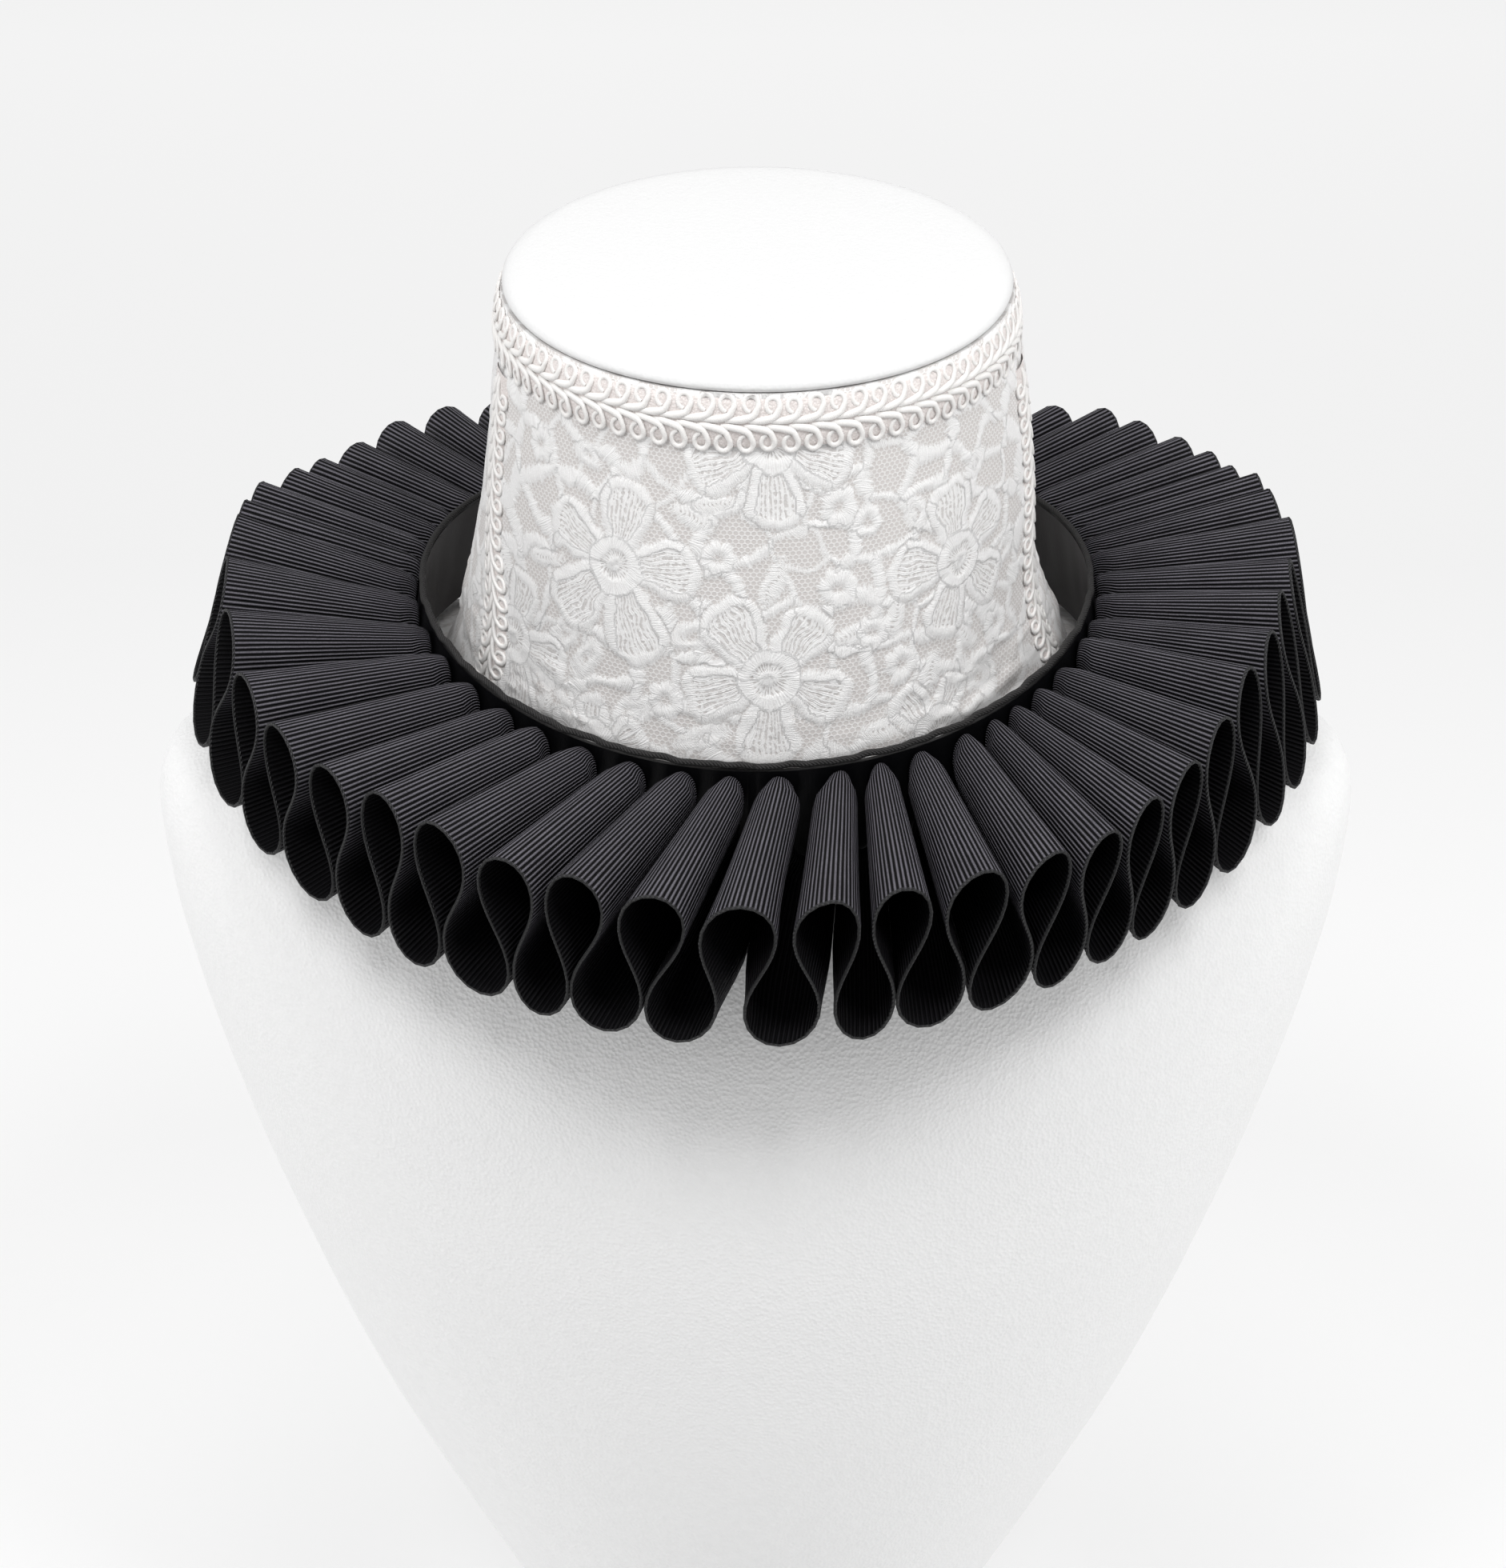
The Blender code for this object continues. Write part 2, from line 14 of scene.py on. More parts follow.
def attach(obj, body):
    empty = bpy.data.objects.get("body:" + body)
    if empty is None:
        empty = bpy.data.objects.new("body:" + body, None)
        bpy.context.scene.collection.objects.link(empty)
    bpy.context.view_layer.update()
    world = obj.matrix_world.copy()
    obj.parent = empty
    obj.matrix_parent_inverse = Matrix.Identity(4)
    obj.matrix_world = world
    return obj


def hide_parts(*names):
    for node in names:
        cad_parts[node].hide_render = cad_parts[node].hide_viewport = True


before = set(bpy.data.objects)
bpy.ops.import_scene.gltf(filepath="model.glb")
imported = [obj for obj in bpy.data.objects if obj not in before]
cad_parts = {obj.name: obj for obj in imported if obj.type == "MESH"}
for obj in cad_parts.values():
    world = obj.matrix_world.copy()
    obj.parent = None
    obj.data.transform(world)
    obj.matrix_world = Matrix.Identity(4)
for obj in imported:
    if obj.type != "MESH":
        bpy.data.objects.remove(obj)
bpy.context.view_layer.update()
rng = np.random.default_rng(7)

MM = 0.001
RUFF_PLANE = 355.0
SEAM_GAP = 0.3
PI = math.pi

# ------------ camera

# fitted to the photograph: the focal length in its pixels, the camera's tilt and roll, and
# where the middle of the ruff stands before it, in mm
FOCAL_PX, PHOTO_H, SENSOR = 5000.0, 1960.0, 36.0
TILT = math.radians(32.29)
ROLL = 0.0032
CAM_X, CAM_DOWN, CAM_AWAY = 0.697, -50.52, 1005.08


def make_camera():
    ahead = Vector((0, math.cos(TILT), -math.sin(TILT)))
    down = Vector((0, -math.sin(TILT), -math.cos(TILT)))
    right = Vector((1, 0, 0))
    eye = -right * CAM_X - down * CAM_DOWN - ahead * CAM_AWAY
    eye.z += RUFF_PLANE
    eye *= MM
    across = right * math.cos(ROLL) - down * math.sin(ROLL)
    below = right * math.sin(ROLL) + down * math.cos(ROLL)
    axes = (across, -below, -ahead)
    matrix = Matrix([[axis[i] for axis in axes] + [eye[i]] for i in range(3)] + [[0, 0, 0, 1]])
    data = bpy.data.cameras.new("camera")
    data.sensor_fit = "VERTICAL"
    data.sensor_height = data.sensor_width = SENSOR
    data.lens = FOCAL_PX / PHOTO_H * SENSOR
    data.clip_start, data.clip_end = 0.01, 20.0
    camera = bpy.data.objects.new("camera", data)
    camera.matrix_world = matrix
    bpy.context.scene.collection.objects.link(camera)
    bpy.context.scene.camera = camera


make_camera()

# ------------ small helpers


def blend(a, b, t):
    return a + (b - a) * t


def smooth(t):
    t = np.clip(t, 0.0, 1.0)
    return t * t * (3.0 - 2.0 * t)


def smooth_curve(xs, ys, x):
    """Monotone cubic through a table's points."""
    xs, ys = np.asarray(xs, float), np.asarray(ys, float)
    h = np.diff(xs)
    d = np.diff(ys) / h
    m = np.zeros(len(xs))
    w1, w2 = 2 * h[1:] + h[:-1], h[1:] + 2 * h[:-1]
    same = d[1:] * d[:-1] > 0
    inner = np.zeros(len(xs) - 2)
    inner[same] = ((w1 + w2)[same]) / (w1[same] / d[:-1][same] + w2[same] / d[1:][same])
    m[1:-1] = inner
    m[0], m[-1] = d[0], d[-1]
    k = np.clip(np.searchsorted(xs, x) - 1, 0, len(h) - 1)
    t = (x - xs[k]) / h[k]
    return ((2 * t**3 - 3 * t**2 + 1) * ys[k] + (t**3 - 2 * t**2 + t) * h[k] * m[k]
            + (-2 * t**3 + 3 * t**2) * ys[k + 1] + (t**3 - t**2) * h[k] * m[k + 1])


def ring_xy(angle, half_width, front, back):
    """A ring that is deeper or shallower behind; angle 0 is the front."""
    depth = np.where(np.cos(angle) > 0.0, front, back)
    return half_width * np.sin(angle), -depth * np.cos(angle)


def stack(x, y, z):
    x, y, z = np.broadcast_arrays(x, y, z)
    return np.stack([x, y, z], -1).astype(float)


def turns(count):
    """Angles once round a ring."""
    return np.arange(count) * 2 * PI / count


def pairs(first, second):
    """Rows of two numbers from two grids that broadcast together."""
    return np.stack(np.broadcast_arrays(first, second), -1).reshape(-1, 2)


def unit(v):
    return v / np.maximum(np.linalg.norm(v, axis=-1, keepdims=True), 1e-9)


def from_axis(points):
    return np.hypot(points[..., 0], points[..., 1])


def add_mesh(name, verts, quads, body="root", uv=None, attrs=None, material=None, sharp=None):
    """An object from mm points; uv and attrs are per point."""
    verts = np.asarray(verts, float).reshape(-1, 3).copy()
    verts[:, 2] += RUFF_PLANE
    verts *= MM
    quads = np.asarray(quads, np.int32)
    sides = quads.shape[1]
    mesh = bpy.data.meshes.new(name)
    mesh.vertices.add(len(verts))
    mesh.vertices.foreach_set("co", verts.ravel())
    mesh.loops.add(quads.size)
    mesh.loops.foreach_set("vertex_index", quads.ravel())
    mesh.polygons.add(len(quads))
    mesh.polygons.foreach_set("loop_start", np.arange(0, quads.size, sides, dtype=np.int32))
    mesh.polygons.foreach_set("use_smooth", np.ones(len(quads), bool))
    mesh.update(calc_edges=True)
    if uv is not None:
        layer = mesh.uv_layers.new(name="cloth")
        layer.data.foreach_set("uv", np.asarray(uv, float).reshape(-1, 2)[quads.ravel()].ravel())
    for key, values in (attrs or {}).items():
        layer = mesh.attributes.new(key, "FLOAT", "POINT")
        layer.data.foreach_set("value", np.asarray(values, float).ravel())
    mesh.validate()
    if sharp is not None:
        mesh.set_sharp_from_angle(angle=math.radians(sharp))
    if material is not None:
        mesh.materials.append(material)
    obj = bpy.data.objects.new(name, mesh)
    bpy.context.scene.collection.objects.link(obj)
    if body:
        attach(obj, body)
    return obj


def grid_quads(rows, cols, closed, start=0, flip=False):
    last = cols if closed else cols - 1
    r = np.arange(rows - 1)[:, None]
    c = np.arange(last)[None, :]
    n = (c + 1) % cols
    q = np.stack(np.broadcast_arrays(r * cols + c, r * cols + n, (r + 1) * cols + n,
                                     (r + 1) * cols + c), -1).reshape(-1, 4) + start
    return q[:, ::-1] if flip else q


def strip_quads(a, b, c, d, flip=False):
    q = np.stack([a, b, c, d], -1)
    return q[:, ::-1] if flip else q


def shell(outer, inner):
    """A closed ring's wall, from two grids (rows, cols, 3) of the same size."""
    rows, cols = outer.shape[:2]
    n = rows * cols
    quads = [grid_quads(rows, cols, True), grid_quads(rows, cols, True, n, True)]
    for row, flip in ((0, True), (rows - 1, False)):
        a = row * cols + np.arange(cols)
        b = row * cols + (np.arange(cols) + 1) % cols
        quads.append(strip_quads(a, b, b + n, a + n, flip))
    return np.concatenate([outer.reshape(-1, 3), inner.reshape(-1, 3)]), np.concatenate(quads)


def ring_quads(count, sides):
    """Quads of a tube of count rings whose last ring joins its first."""
    a = np.arange(sides)
    b, last = (a + 1) % sides, (count - 1) * sides
    return np.concatenate([grid_quads(count, sides, True),
                           strip_quads(last + a, last + b, b, a)])


def sweep(path, radius, up, sides=6):
    """Ring points of a tube along path (n, 3); radius per point; up is the side to start from."""
    along = unit(np.gradient(path, axis=0))
    side = unit(np.cross(along, up))
    top = unit(np.cross(side, along))
    turn = turns(sides)
    r = np.broadcast_to(np.asarray(radius, float), (len(path),))[:, None, None]
    return path[:, None] + r * (np.cos(turn)[None, :, None] * side[:, None]
                                + np.sin(turn)[None, :, None] * top[:, None])


# ------------ material helper


class Nodes:
    """Short way to write a node material."""

    def __init__(self, name, colour, roughness, **sockets):
        self.material = bpy.data.materials.new(name)
        self.material.use_nodes = True
        self.tree = self.material.node_tree
        self.shader = self.tree.nodes["Principled BSDF"]
        self.shader.inputs["Base Color"].default_value = (*colour, 1.0)
        self.shader.inputs["Roughness"].default_value = roughness
        for key, value in sockets.items():
            self.shader.inputs[key.replace("_", " ")].default_value = value

    def put(self, socket, value):
        if isinstance(value, (int, float)):
            socket.default_value = value
        elif isinstance(value, tuple):   # a colour
            socket.default_value = (*value, 1.0)
        else:
            self.tree.links.new(value, socket)

    def node(self, kind, *values, **settings):
        """A new node, with values or links put into its first inputs."""
        node = self.tree.nodes.new("ShaderNode" + kind)
        for key, setting in settings.items():
            setattr(node, key, setting)
        for socket, value in zip(node.inputs, values):
            if value is not None:
                self.put(socket, value)
        return node

    def math(self, operation, *values, clamp=False):
        return self.node("Math", *values, operation=operation, use_clamp=clamp).outputs[0]

    def times(self, a, b, clamp=False):
        return self.math("MULTIPLY", a, b, clamp=clamp)

    def times_plus(self, a, b, c):
        return self.math("MULTIPLY_ADD", a, b, c)

    def plus(self, a, b):
        return self.math("ADD", a, b)

    def minus(self, a, b):
        return self.math("SUBTRACT", a, b)

    def wave(self, x, period=1.0):
        return self.math("SINE", self.times(x, 2 * PI / period))

    def attr(self, name):
        return self.node("Attribute", attribute_name=name).outputs["Fac"]

    def split(self, vector):
        return self.node("SeparateXYZ", vector).outputs

    def uv(self):
        """The cloth coordinate in mm, and its two parts."""
        both = self.node("UVMap", uv_map="cloth").outputs[0]
        return both, *self.split(both)[:2]

    def place(self):
        return self.node("TexCoord").outputs["Object"]

    def noise(self, vector, scale, detail=2.0, rough=0.5):
        return self.node("TexNoise", vector, None, scale, detail, rough).outputs[0]

    def voronoi(self, vector, scale):
        return self.node("TexVoronoi", vector, None, scale).outputs["Distance"]

    def combine(self, x, y, z=0.0):
        return self.node("CombineXYZ", x, y, z).outputs[0]

    def mix(self, share, a, b):
        """Two colours; a colour mix keeps them in its inputs 6 and 7."""
        return self.node("Mix", share, *[None] * 5, a, b, data_type="RGBA").outputs[2]

    def remap(self, value, painted_low_shade, high, new_low=0.0, new_high=1.0):
        return self.node("MapRange", value, painted_low_shade, high, new_low, new_high).outputs[0]

    def bump(self, height, distance_mm, strength):
        node = self.node("Bump", strength, distance_mm * MM)
        self.put(node.inputs["Height"], height)
        self.set("Normal", node.outputs[0])

    def set(self, socket, value):
        self.put(self.shader.inputs[socket], value)

    def colour(self, share, a, b):
        self.set("Base Color", self.mix(share, a, b))


# ------------ bust

BUST = np.array([
    # height core width front back
    (-355, 46, 46, 49, 44), (-353, 48.5, 48.5, 51.5, 46),
    (-320, 64.5, 64.5, 67.5, 55), (-270, 88.5, 88.5, 85, 64),
    (-225, 109, 109, 97, 71), (-180, 125.5, 125.5, 104, 77.8),
    (-140, 138, 138, 107, 83), (-105, 146, 147, 106, 87.6),
    (-80, 145, 152, 102, 91), (-60, 133, 154, 94, 91),
    (-48, 115, 151, 86, 89), (-42, 102, 141, 81.5, 87),
    (-38, 93, 128, 78.8, 84.5), (-34.5, 84, 112, 77.6, 81.5),
    (-31, 78.5, 93.5, 77.2, 78.5), (-28, 75, 84.5, 77, 75.5),
    (-24, 73.3, 79.5, 76.9, 73.3), (-18, 71.8, 75.5, 76.9, 72),
    (-12, 70.5, 72, 76.9, 71), (-5, 69, 69.2, 76.7, 70),
    (7, 67, 67, 74, 68.2), (29, 65, 65, 69.5, 65.8),
    (51, 63.2, 63.2, 65.3, 63.5)] + [
    # the round padded top: height, then one radius for all four
    (height, *[radius] * 4) for height, radius in (
        (83.5, 59.9), (83.95, 60.8), (84.9, 61.3), (86.1, 60.7), (87, 59.2), (87.5, 57),
        (87.7, 53.6))])
LACE_HEM, LACE_TOP, NECK_TOP_RADIUS = -34.5, 83.5, 59.9
LACE_THICKNESS, LACE_RELIEF = 1.4, 0.30
SIDE_SEAMS = math.radians(-69.0), math.radians(78.0)
BRAID_WIDTH = 14.5

_index = np.arange(len(BUST))
_fine = np.linspace(0, len(BUST) - 1, 40 * len(BUST))
FINE = np.stack([smooth_curve(_index, BUST[:, k], _fine) for k in range(5)], -1)


def neck_radius(height):
    return np.interp(height, FINE[:, 0], FINE[:, 1])


def bust_point(angle, height):
    core, width, front, back = (np.interp(height, FINE[:, 0], FINE[:, k]) for k in range(1, 5))
    ridge = np.abs(np.sin(angle)) ** 3
    x, y = ring_xy(angle, blend(core, width, ridge), front, back)
    return stack(x, y, height)


def neck_point(angle, height, distance):
    """A point at a distance off the bust's surface, along its normal."""
    step, dz = math.radians(1.0), 0.8
    along = bust_point(angle + step, height) - bust_point(angle - step, height)
    up = (bust_point(angle, np.minimum(height + dz, LACE_TOP))
          - bust_point(angle, np.maximum(height - dz, -RUFF_PLANE)))
    return bust_point(angle, height) + unit(np.cross(along, up)) * np.asarray(distance)[..., None]


CAP_FROM, CAP_TO = 83.8, 84.5
BUST_ROWS, BUST_COLS = 150, 144


def make_bust():
    m = Nodes("white_leatherette", (0.85, 0.85, 0.85), 0.5, Specular_IOR_Level=0.25)
    place = m.place()
    cells = m.voronoi(place, 1050.0)
    creases = m.noise(place, 300.0, 4.0, 0.6)
    grain = m.plus(m.times(cells, 0.7), m.times(creases, 0.6))
    m.set("Roughness", m.remap(grain, 0.2, 1.0, 0.44, 0.58))
    # the padded cap of the neck is painted less bright, painted shade against the light from above,
    # and its grain is smoother
    cap_painted_shade = m.remap(m.split(place)[2], (RUFF_PLANE + CAP_FROM) * MM, (RUFF_PLANE + CAP_TO) * MM)
    m.bump(m.times(grain, m.remap(cap_painted_shade, 0.0, 1.0, 1.0, 0.35)), 0.29, 0.9)
    cover = m.mix(m.remap(creases, 0.35, 0.65), (0.870, 0.870, 0.870), (0.890, 0.890, 0.890))
    m.colour(cap_painted_shade, cover, (0.708, 0.708, 0.708))
    rows = smooth_curve(_index, BUST[:, 0], np.linspace(0, len(BUST) - 1, BUST_ROWS))
    points = bust_point(turns(BUST_COLS)[None, :], rows[:, None])
    verts, quads = [points.reshape(-1, 3)], [grid_quads(BUST_ROWS, BUST_COLS, True)]
    n = BUST_ROWS * BUST_COLS
    a = np.arange(BUST_COLS)
    b = (a + 1) % BUST_COLS
    # flat ends, as rings that shrink to the middle
    for row, flip in ((0, True), (BUST_ROWS - 1, False)):
        ring, previous = points[row], row * BUST_COLS
        centre = ring.mean(0)
        for share in (0.66, 0.33, 0.02):
            verts.append(centre + (ring - centre) * share)
            quads.append(strip_quads(previous + a, previous + b, n + b, n + a, flip))
            previous = n
            n += BUST_COLS
    bust = add_mesh("bust_cover", np.concatenate(verts), np.concatenate(quads),
                    material=m.material, sharp=50)
    shape = bmesh.new()
    shape.from_mesh(bust.data)
    bmesh.ops.holes_fill(shape, edges=[e for e in shape.edges if e.is_boundary])
    bmesh.ops.recalc_face_normals(shape, faces=shape.faces)
    shape.to_mesh(bust.data)
    shape.free()
    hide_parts("display_bust")


# ------------ neckband

BAND_TOP = (82.8, 78.9, 82.0)
BAND_BOTTOM = (87.0, 79.8, 84.0)
BAND_HEIGHT, BAND_THICKNESS = 29.5, 1.4
BINDING_HEIGHT, BINDING_WIDTH = 1.9, 2.2
BAND_RADIUS = 83.0


def band_top_height(angle):
    return 1.0 - 0.5 * np.cos(angle) - 4.0 * np.cos(2.0 * angle)


def band_point(angle, depth, distance):
    """A point of the band: depth below its top edge, distance out from its inner wall."""
    share = depth / BAND_HEIGHT
    half_width, front, back = (blend(a, b, share) for a, b in zip(BAND_TOP, BAND_BOTTOM))
    x, y = ring_xy(angle, half_width + distance, front + distance, back + distance)
    return stack(x, y, band_top_height(angle) - depth)


def grosgrain_material():
    """Rounded ribs across the ribbon, with fine warp threads over them."""
    m = Nodes("black_grosgrain", (0.025, 0.024, 0.028), 0.52, Specular_IOR_Level=0.1)
    uv, u, v = m.uv()
    drift = m.noise(m.combine(m.times(u, 0.5), m.times(v, 0.05)), 0.8, 2.0)
    rib = m.times_plus(m.wave(m.times_plus(drift, 0.35, u), RIB_PITCH), 0.5, 0.5)
    warp = m.noise(m.combine(m.times(u, 1.1), m.times(v, 4.2)), 1.0, 2.0)
    m.bump(m.plus(rib, m.times(warp, 0.22)), 0.42, 1.0)
    # painted light on the rib crests and painted shade in their valleys; the warp and the patches
    # vary the tone at random
    painted_shade = m.times(m.times(m.remap(rib, 0.30, 0.85), m.remap(warp, 0.25, 0.6, 0.55, 1.0)),
                    m.remap(m.noise(uv, 0.10, 3.0), 0.3, 0.7, 0.8, 1.0))
    # the open attribute adds painted light on top of the pleats and painted shade deep in them
    m.colour(m.times(painted_shade, m.attr("open")), (0.0010, 0.0009, 0.0013), (0.145, 0.139, 0.160))
    m.set("Roughness", m.remap(warp, 0.3, 0.7, 0.5, 0.65))
    return m.material


def make_band():
    m = Nodes("black_satin", (0.012, 0.012, 0.015), 0.38, Anisotropic=0.5, Specular_IOR_Level=0.3)
    _, u, v = m.uv()
    threads = m.noise(m.combine(m.times(u, 3.5), m.times(v, 0.25)), 1.0, 3.0)
    pucker = m.noise(m.combine(m.times(u, 0.10), m.times(v, 0.07)), 1.0, 2.0)
    m.bump(m.plus(m.times(threads, 0.35), pucker), 0.22, 0.5)
    # the outer face, behind the pleats, is painted near black as painted shade; the inner face
    # keeps the satin's colour
    m.colour(m.attr("inner_face"), (0.0015, 0.0015, 0.002), (0.040, 0.0375, 0.0385))
    cols, rows = 300, 14
    angle = turns(cols)[None, :]
    depth = np.linspace(BAND_HEIGHT, BINDING_HEIGHT + SEAM_GAP, rows)[:, None]
    # each pleat sewn to the outside pulls the inside in and out a little
    pull = 0.09 * np.sin(angle * len(PLEATS)) * np.sin(PI * (BAND_HEIGHT - depth) / BAND_HEIGHT)
    outer = band_point(angle, depth, BAND_THICKNESS - 0.2)
    inner = band_point(angle, depth, 0.1 + pull)
    verts, quads = shell(outer, inner)
    uv = np.tile(pairs(angle * BAND_RADIUS, depth), (2, 1))
    inner_face = np.repeat([0.0, 1.0], rows * cols)
    band = add_mesh("band_satin", verts, quads, uv=uv, attrs={"inner_face": inner_face},
                    material=m.material, sharp=50)
    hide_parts("neckband")
    return band


def make_binding():
    m = Nodes("black_binding", (0.02, 0.017, 0.016), 0.7)
    uv, u, v = m.uv()
    twist = m.wave(m.plus(u, m.times(v, 0.8)), 0.9)
    height = m.plus(m.times(twist, 0.4), m.noise(uv, 3.0, 3.0))
    m.bump(height, 0.3, 0.9)
    # the colour follows the relief: painted light where it is high, painted shade where it is low
    m.colour(m.remap(height, 0.1, 1.1), (0.002, 0.0018, 0.0018), (0.024, 0.022, 0.022))
    cols, sides = 720, 14
    angle, turn = turns(cols)[:, None], turns(sides)[None, :]
    # sewn by hand: it wanders by up to 0.3 mm
    wander = (0.16 * np.sin(31 * angle + 1) + 0.12 * np.sin(53 * angle)
              + 0.09 * np.sin(87 * angle + 2))
    half_h, half_w = BINDING_HEIGHT / 2 - 0.15, BINDING_WIDTH / 2 - 0.30
    depth = BINDING_HEIGHT / 2 - half_h * np.sin(turn) + wander * 0.8
    away = BAND_THICKNESS / 2 + half_w * np.cos(turn) + wander * 0.5
    edge = add_mesh("band_edge", band_point(angle, depth, away), ring_quads(cols, sides)[:, ::-1],
                    uv=pairs(angle * BAND_RADIUS, turn), material=m.material)
    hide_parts("neckband_binding")
    return edge


# ------------ ruff

RIM_RADIUS, LOW_RIM_RADIUS, LOW_RIM_SPREAD = 132.5, 136.5, 6.5
INNER_SECTION, INNER_ROUNDING, INNER_HEIGHT_SHARE = 0.12, 0.10, 0.90
SEWN_HEIGHT, SEWN_DROP = 25.0, 2.5
FIRST_FOLD = -175.5
OPEN_SWING, SEWN_SWING, UPPER_PULL = 117.0, 104.0, 0.03
PARTING_FROM = 0.60
RIBBON_WIDTH, RIBBON_THICKNESS, RIB_PITCH = 50.0, 0.7, 1.18
BACK_PLEAT = (7, 0, 0, 0, 0, 3)
PLEATS = np.array([BACK_PLEAT] * 5 + [
    # step lift reach parting lean twist
    (8, 0, 1, 0, 0, 4), (7.5, -1, 0, 0, 0, 4), (7.5, -3, -2, 0, 0, 4.5),
    (5, -3, -2.5, 0, 0, 5), (7.5, -2, -2, 0, 0, 5.5), (5, 0, 0, 0, 0, 4.5),
    (4.5, 0, 0, 0, 0, 5), (10, 1, -1, 0, 0.5, 7), (11, 0, -1, 0, 2, 5),
    (10.5, 0, 0, 0, 1.75, 3.5), (8, -1.5, 2.5, 0, 1.25, 1.5), (8, -2, 3, 0, 1.75, 2.5),
    (7, -1.5, 1.5, 0, 1.75, 3.5), (7, 0.5, -0.5, 0, 1.25, 3.5), (8.5, 1, -1, 0, 1, 5.5),
    (7, 0.5, -0.5, 0, -0.25, 5.5), (8.5, 1.5, -1.5, 0, -1.25, 7), (8.5, 1, -1, 0, -2.25, 6),
    (9, 0.5, -0.5, 6, -0.5, 5), (7, 1, -0.5, 3, 0, 6), (8.5, 1, -1, 0, -0.75, 5.5),
    (8, 0, -0.5, 0, -2.5, 4), (6, -2, 0.5, 0, -2.75, 4.5), (6, -3, 2, 0, -2.5, 4.5),
    (6, -2, 1.5, 0, -3.5, 3.5), (6.5, -1, 1.5, 0, -3.25, 3.5), (8, 0.5, 0, 0, -3.75, 3.5),
    (7, 2, -2, 0, -3, 5.5), (8, 1.5, -1.5, 0, -4.25, 4), (7, 1.5, -2, 0, -4, 4),
    (9, 0.5, 0, 0, -3.75, 4.5), (7.5, 1.5, 2.5, 0, -3.5, 3), (4.5, 2, 1.5, 0, -2, 0.5),
    (4.5, 2, 2, 0, -1, 0.5), (5, 0.5, 0, 0, 0, 0), (6, 0.5, 0.5, 0, 0, 0),
    (7.5, 0.5, 0.5, 0, 0, 0), (6, 1, 1, 0, 0, 0.5), (6.5, 1.5, 2.5, 0, 0, 1),
    (7.5, 0.5, 0.5, 0, 0, 1.5)] + [BACK_PLEAT] * 5)
TURN_POINTS = 32
RIM_ROWS = (0.0, 0.012, 0.026, 0.042, 0.06, 0.08, 0.105, 0.135, 0.17, 0.22, 0.29, 0.38, 0.48,
            0.58, 0.68, 0.78, 0.87, 0.94, 0.98, 1.0)
TURN = np.arange(TURN_POINTS) / TURN_POINTS
# radians by which each pleat's lower fold swings aside
WOBBLE = rng.normal(0.0, 0.002, len(PLEATS))


def rim_heights(angle):
    upper = 1.5 * np.cos(angle) - 11.3 * np.cos(2.0 * angle)
    lower = -37.0 - np.cos(angle) - 11.0 * np.cos(2.0 * angle)
    return upper, lower


def inner_heights(angle):
    upper = band_top_height(angle) - SEWN_DROP
    return upper, upper - SEWN_HEIGHT


def fold_line(swing, points):
    """One pleat as run 0-1 and level -1 to 1, for a ribbon whose direction swings to and fro."""
    fine = 16
    turn = (np.arange(points * fine) + 0.5) / (points * fine)
    direction = math.radians(swing) * np.sin(2 * PI * turn)
    run = np.concatenate([[0.0], np.cumsum(np.cos(direction))])[::fine]
    height = np.concatenate([[0.0], np.cumsum(np.sin(direction))])[::fine]
    return (run / run[-1])[:points], (2.0 * height / height[points // 2] - 1.0)[:points]


_run, _level = fold_line(OPEN_SWING, 200)
_neck = int(np.argmax(_run[:50]))
NECK_SWELL, NECK_SAG = 90.0 / OPEN_SWING, (1.0 - _level[_neck]) / 2.0
NECK_HALF = 0.5 - _run[_neck] - UPPER_PULL * NECK_SWELL


def fold_angles(crests, leans, run, level, neck_width):
    """Angles round the ring of all points of all pleats: (pleats, TURN_POINTS)."""
    after = (np.roll(crests, -1) - crests) % (2 * PI)
    before, lean_before = np.roll(after, 1), np.roll(leans, 1)
    rising = (TURN < 0.5)[None, :]
    step = np.where(rising, before[:, None], after[:, None])
    lean = np.where(rising, lean_before[:, None], leans[:, None])
    swell, sag = np.sin(2 * PI * TURN), (1.0 - level) / 2.0
    natural = (before + after) * NECK_HALF + (leans - lean_before) * NECK_SAG
    squeeze = ((natural - neck_width) / 2.0)[:, None] * swell * sag / (NECK_SWELL * NECK_SAG)
    return crests[:, None] + step * (run - 0.5 + UPPER_PULL * swell) + lean * sag + squeeze


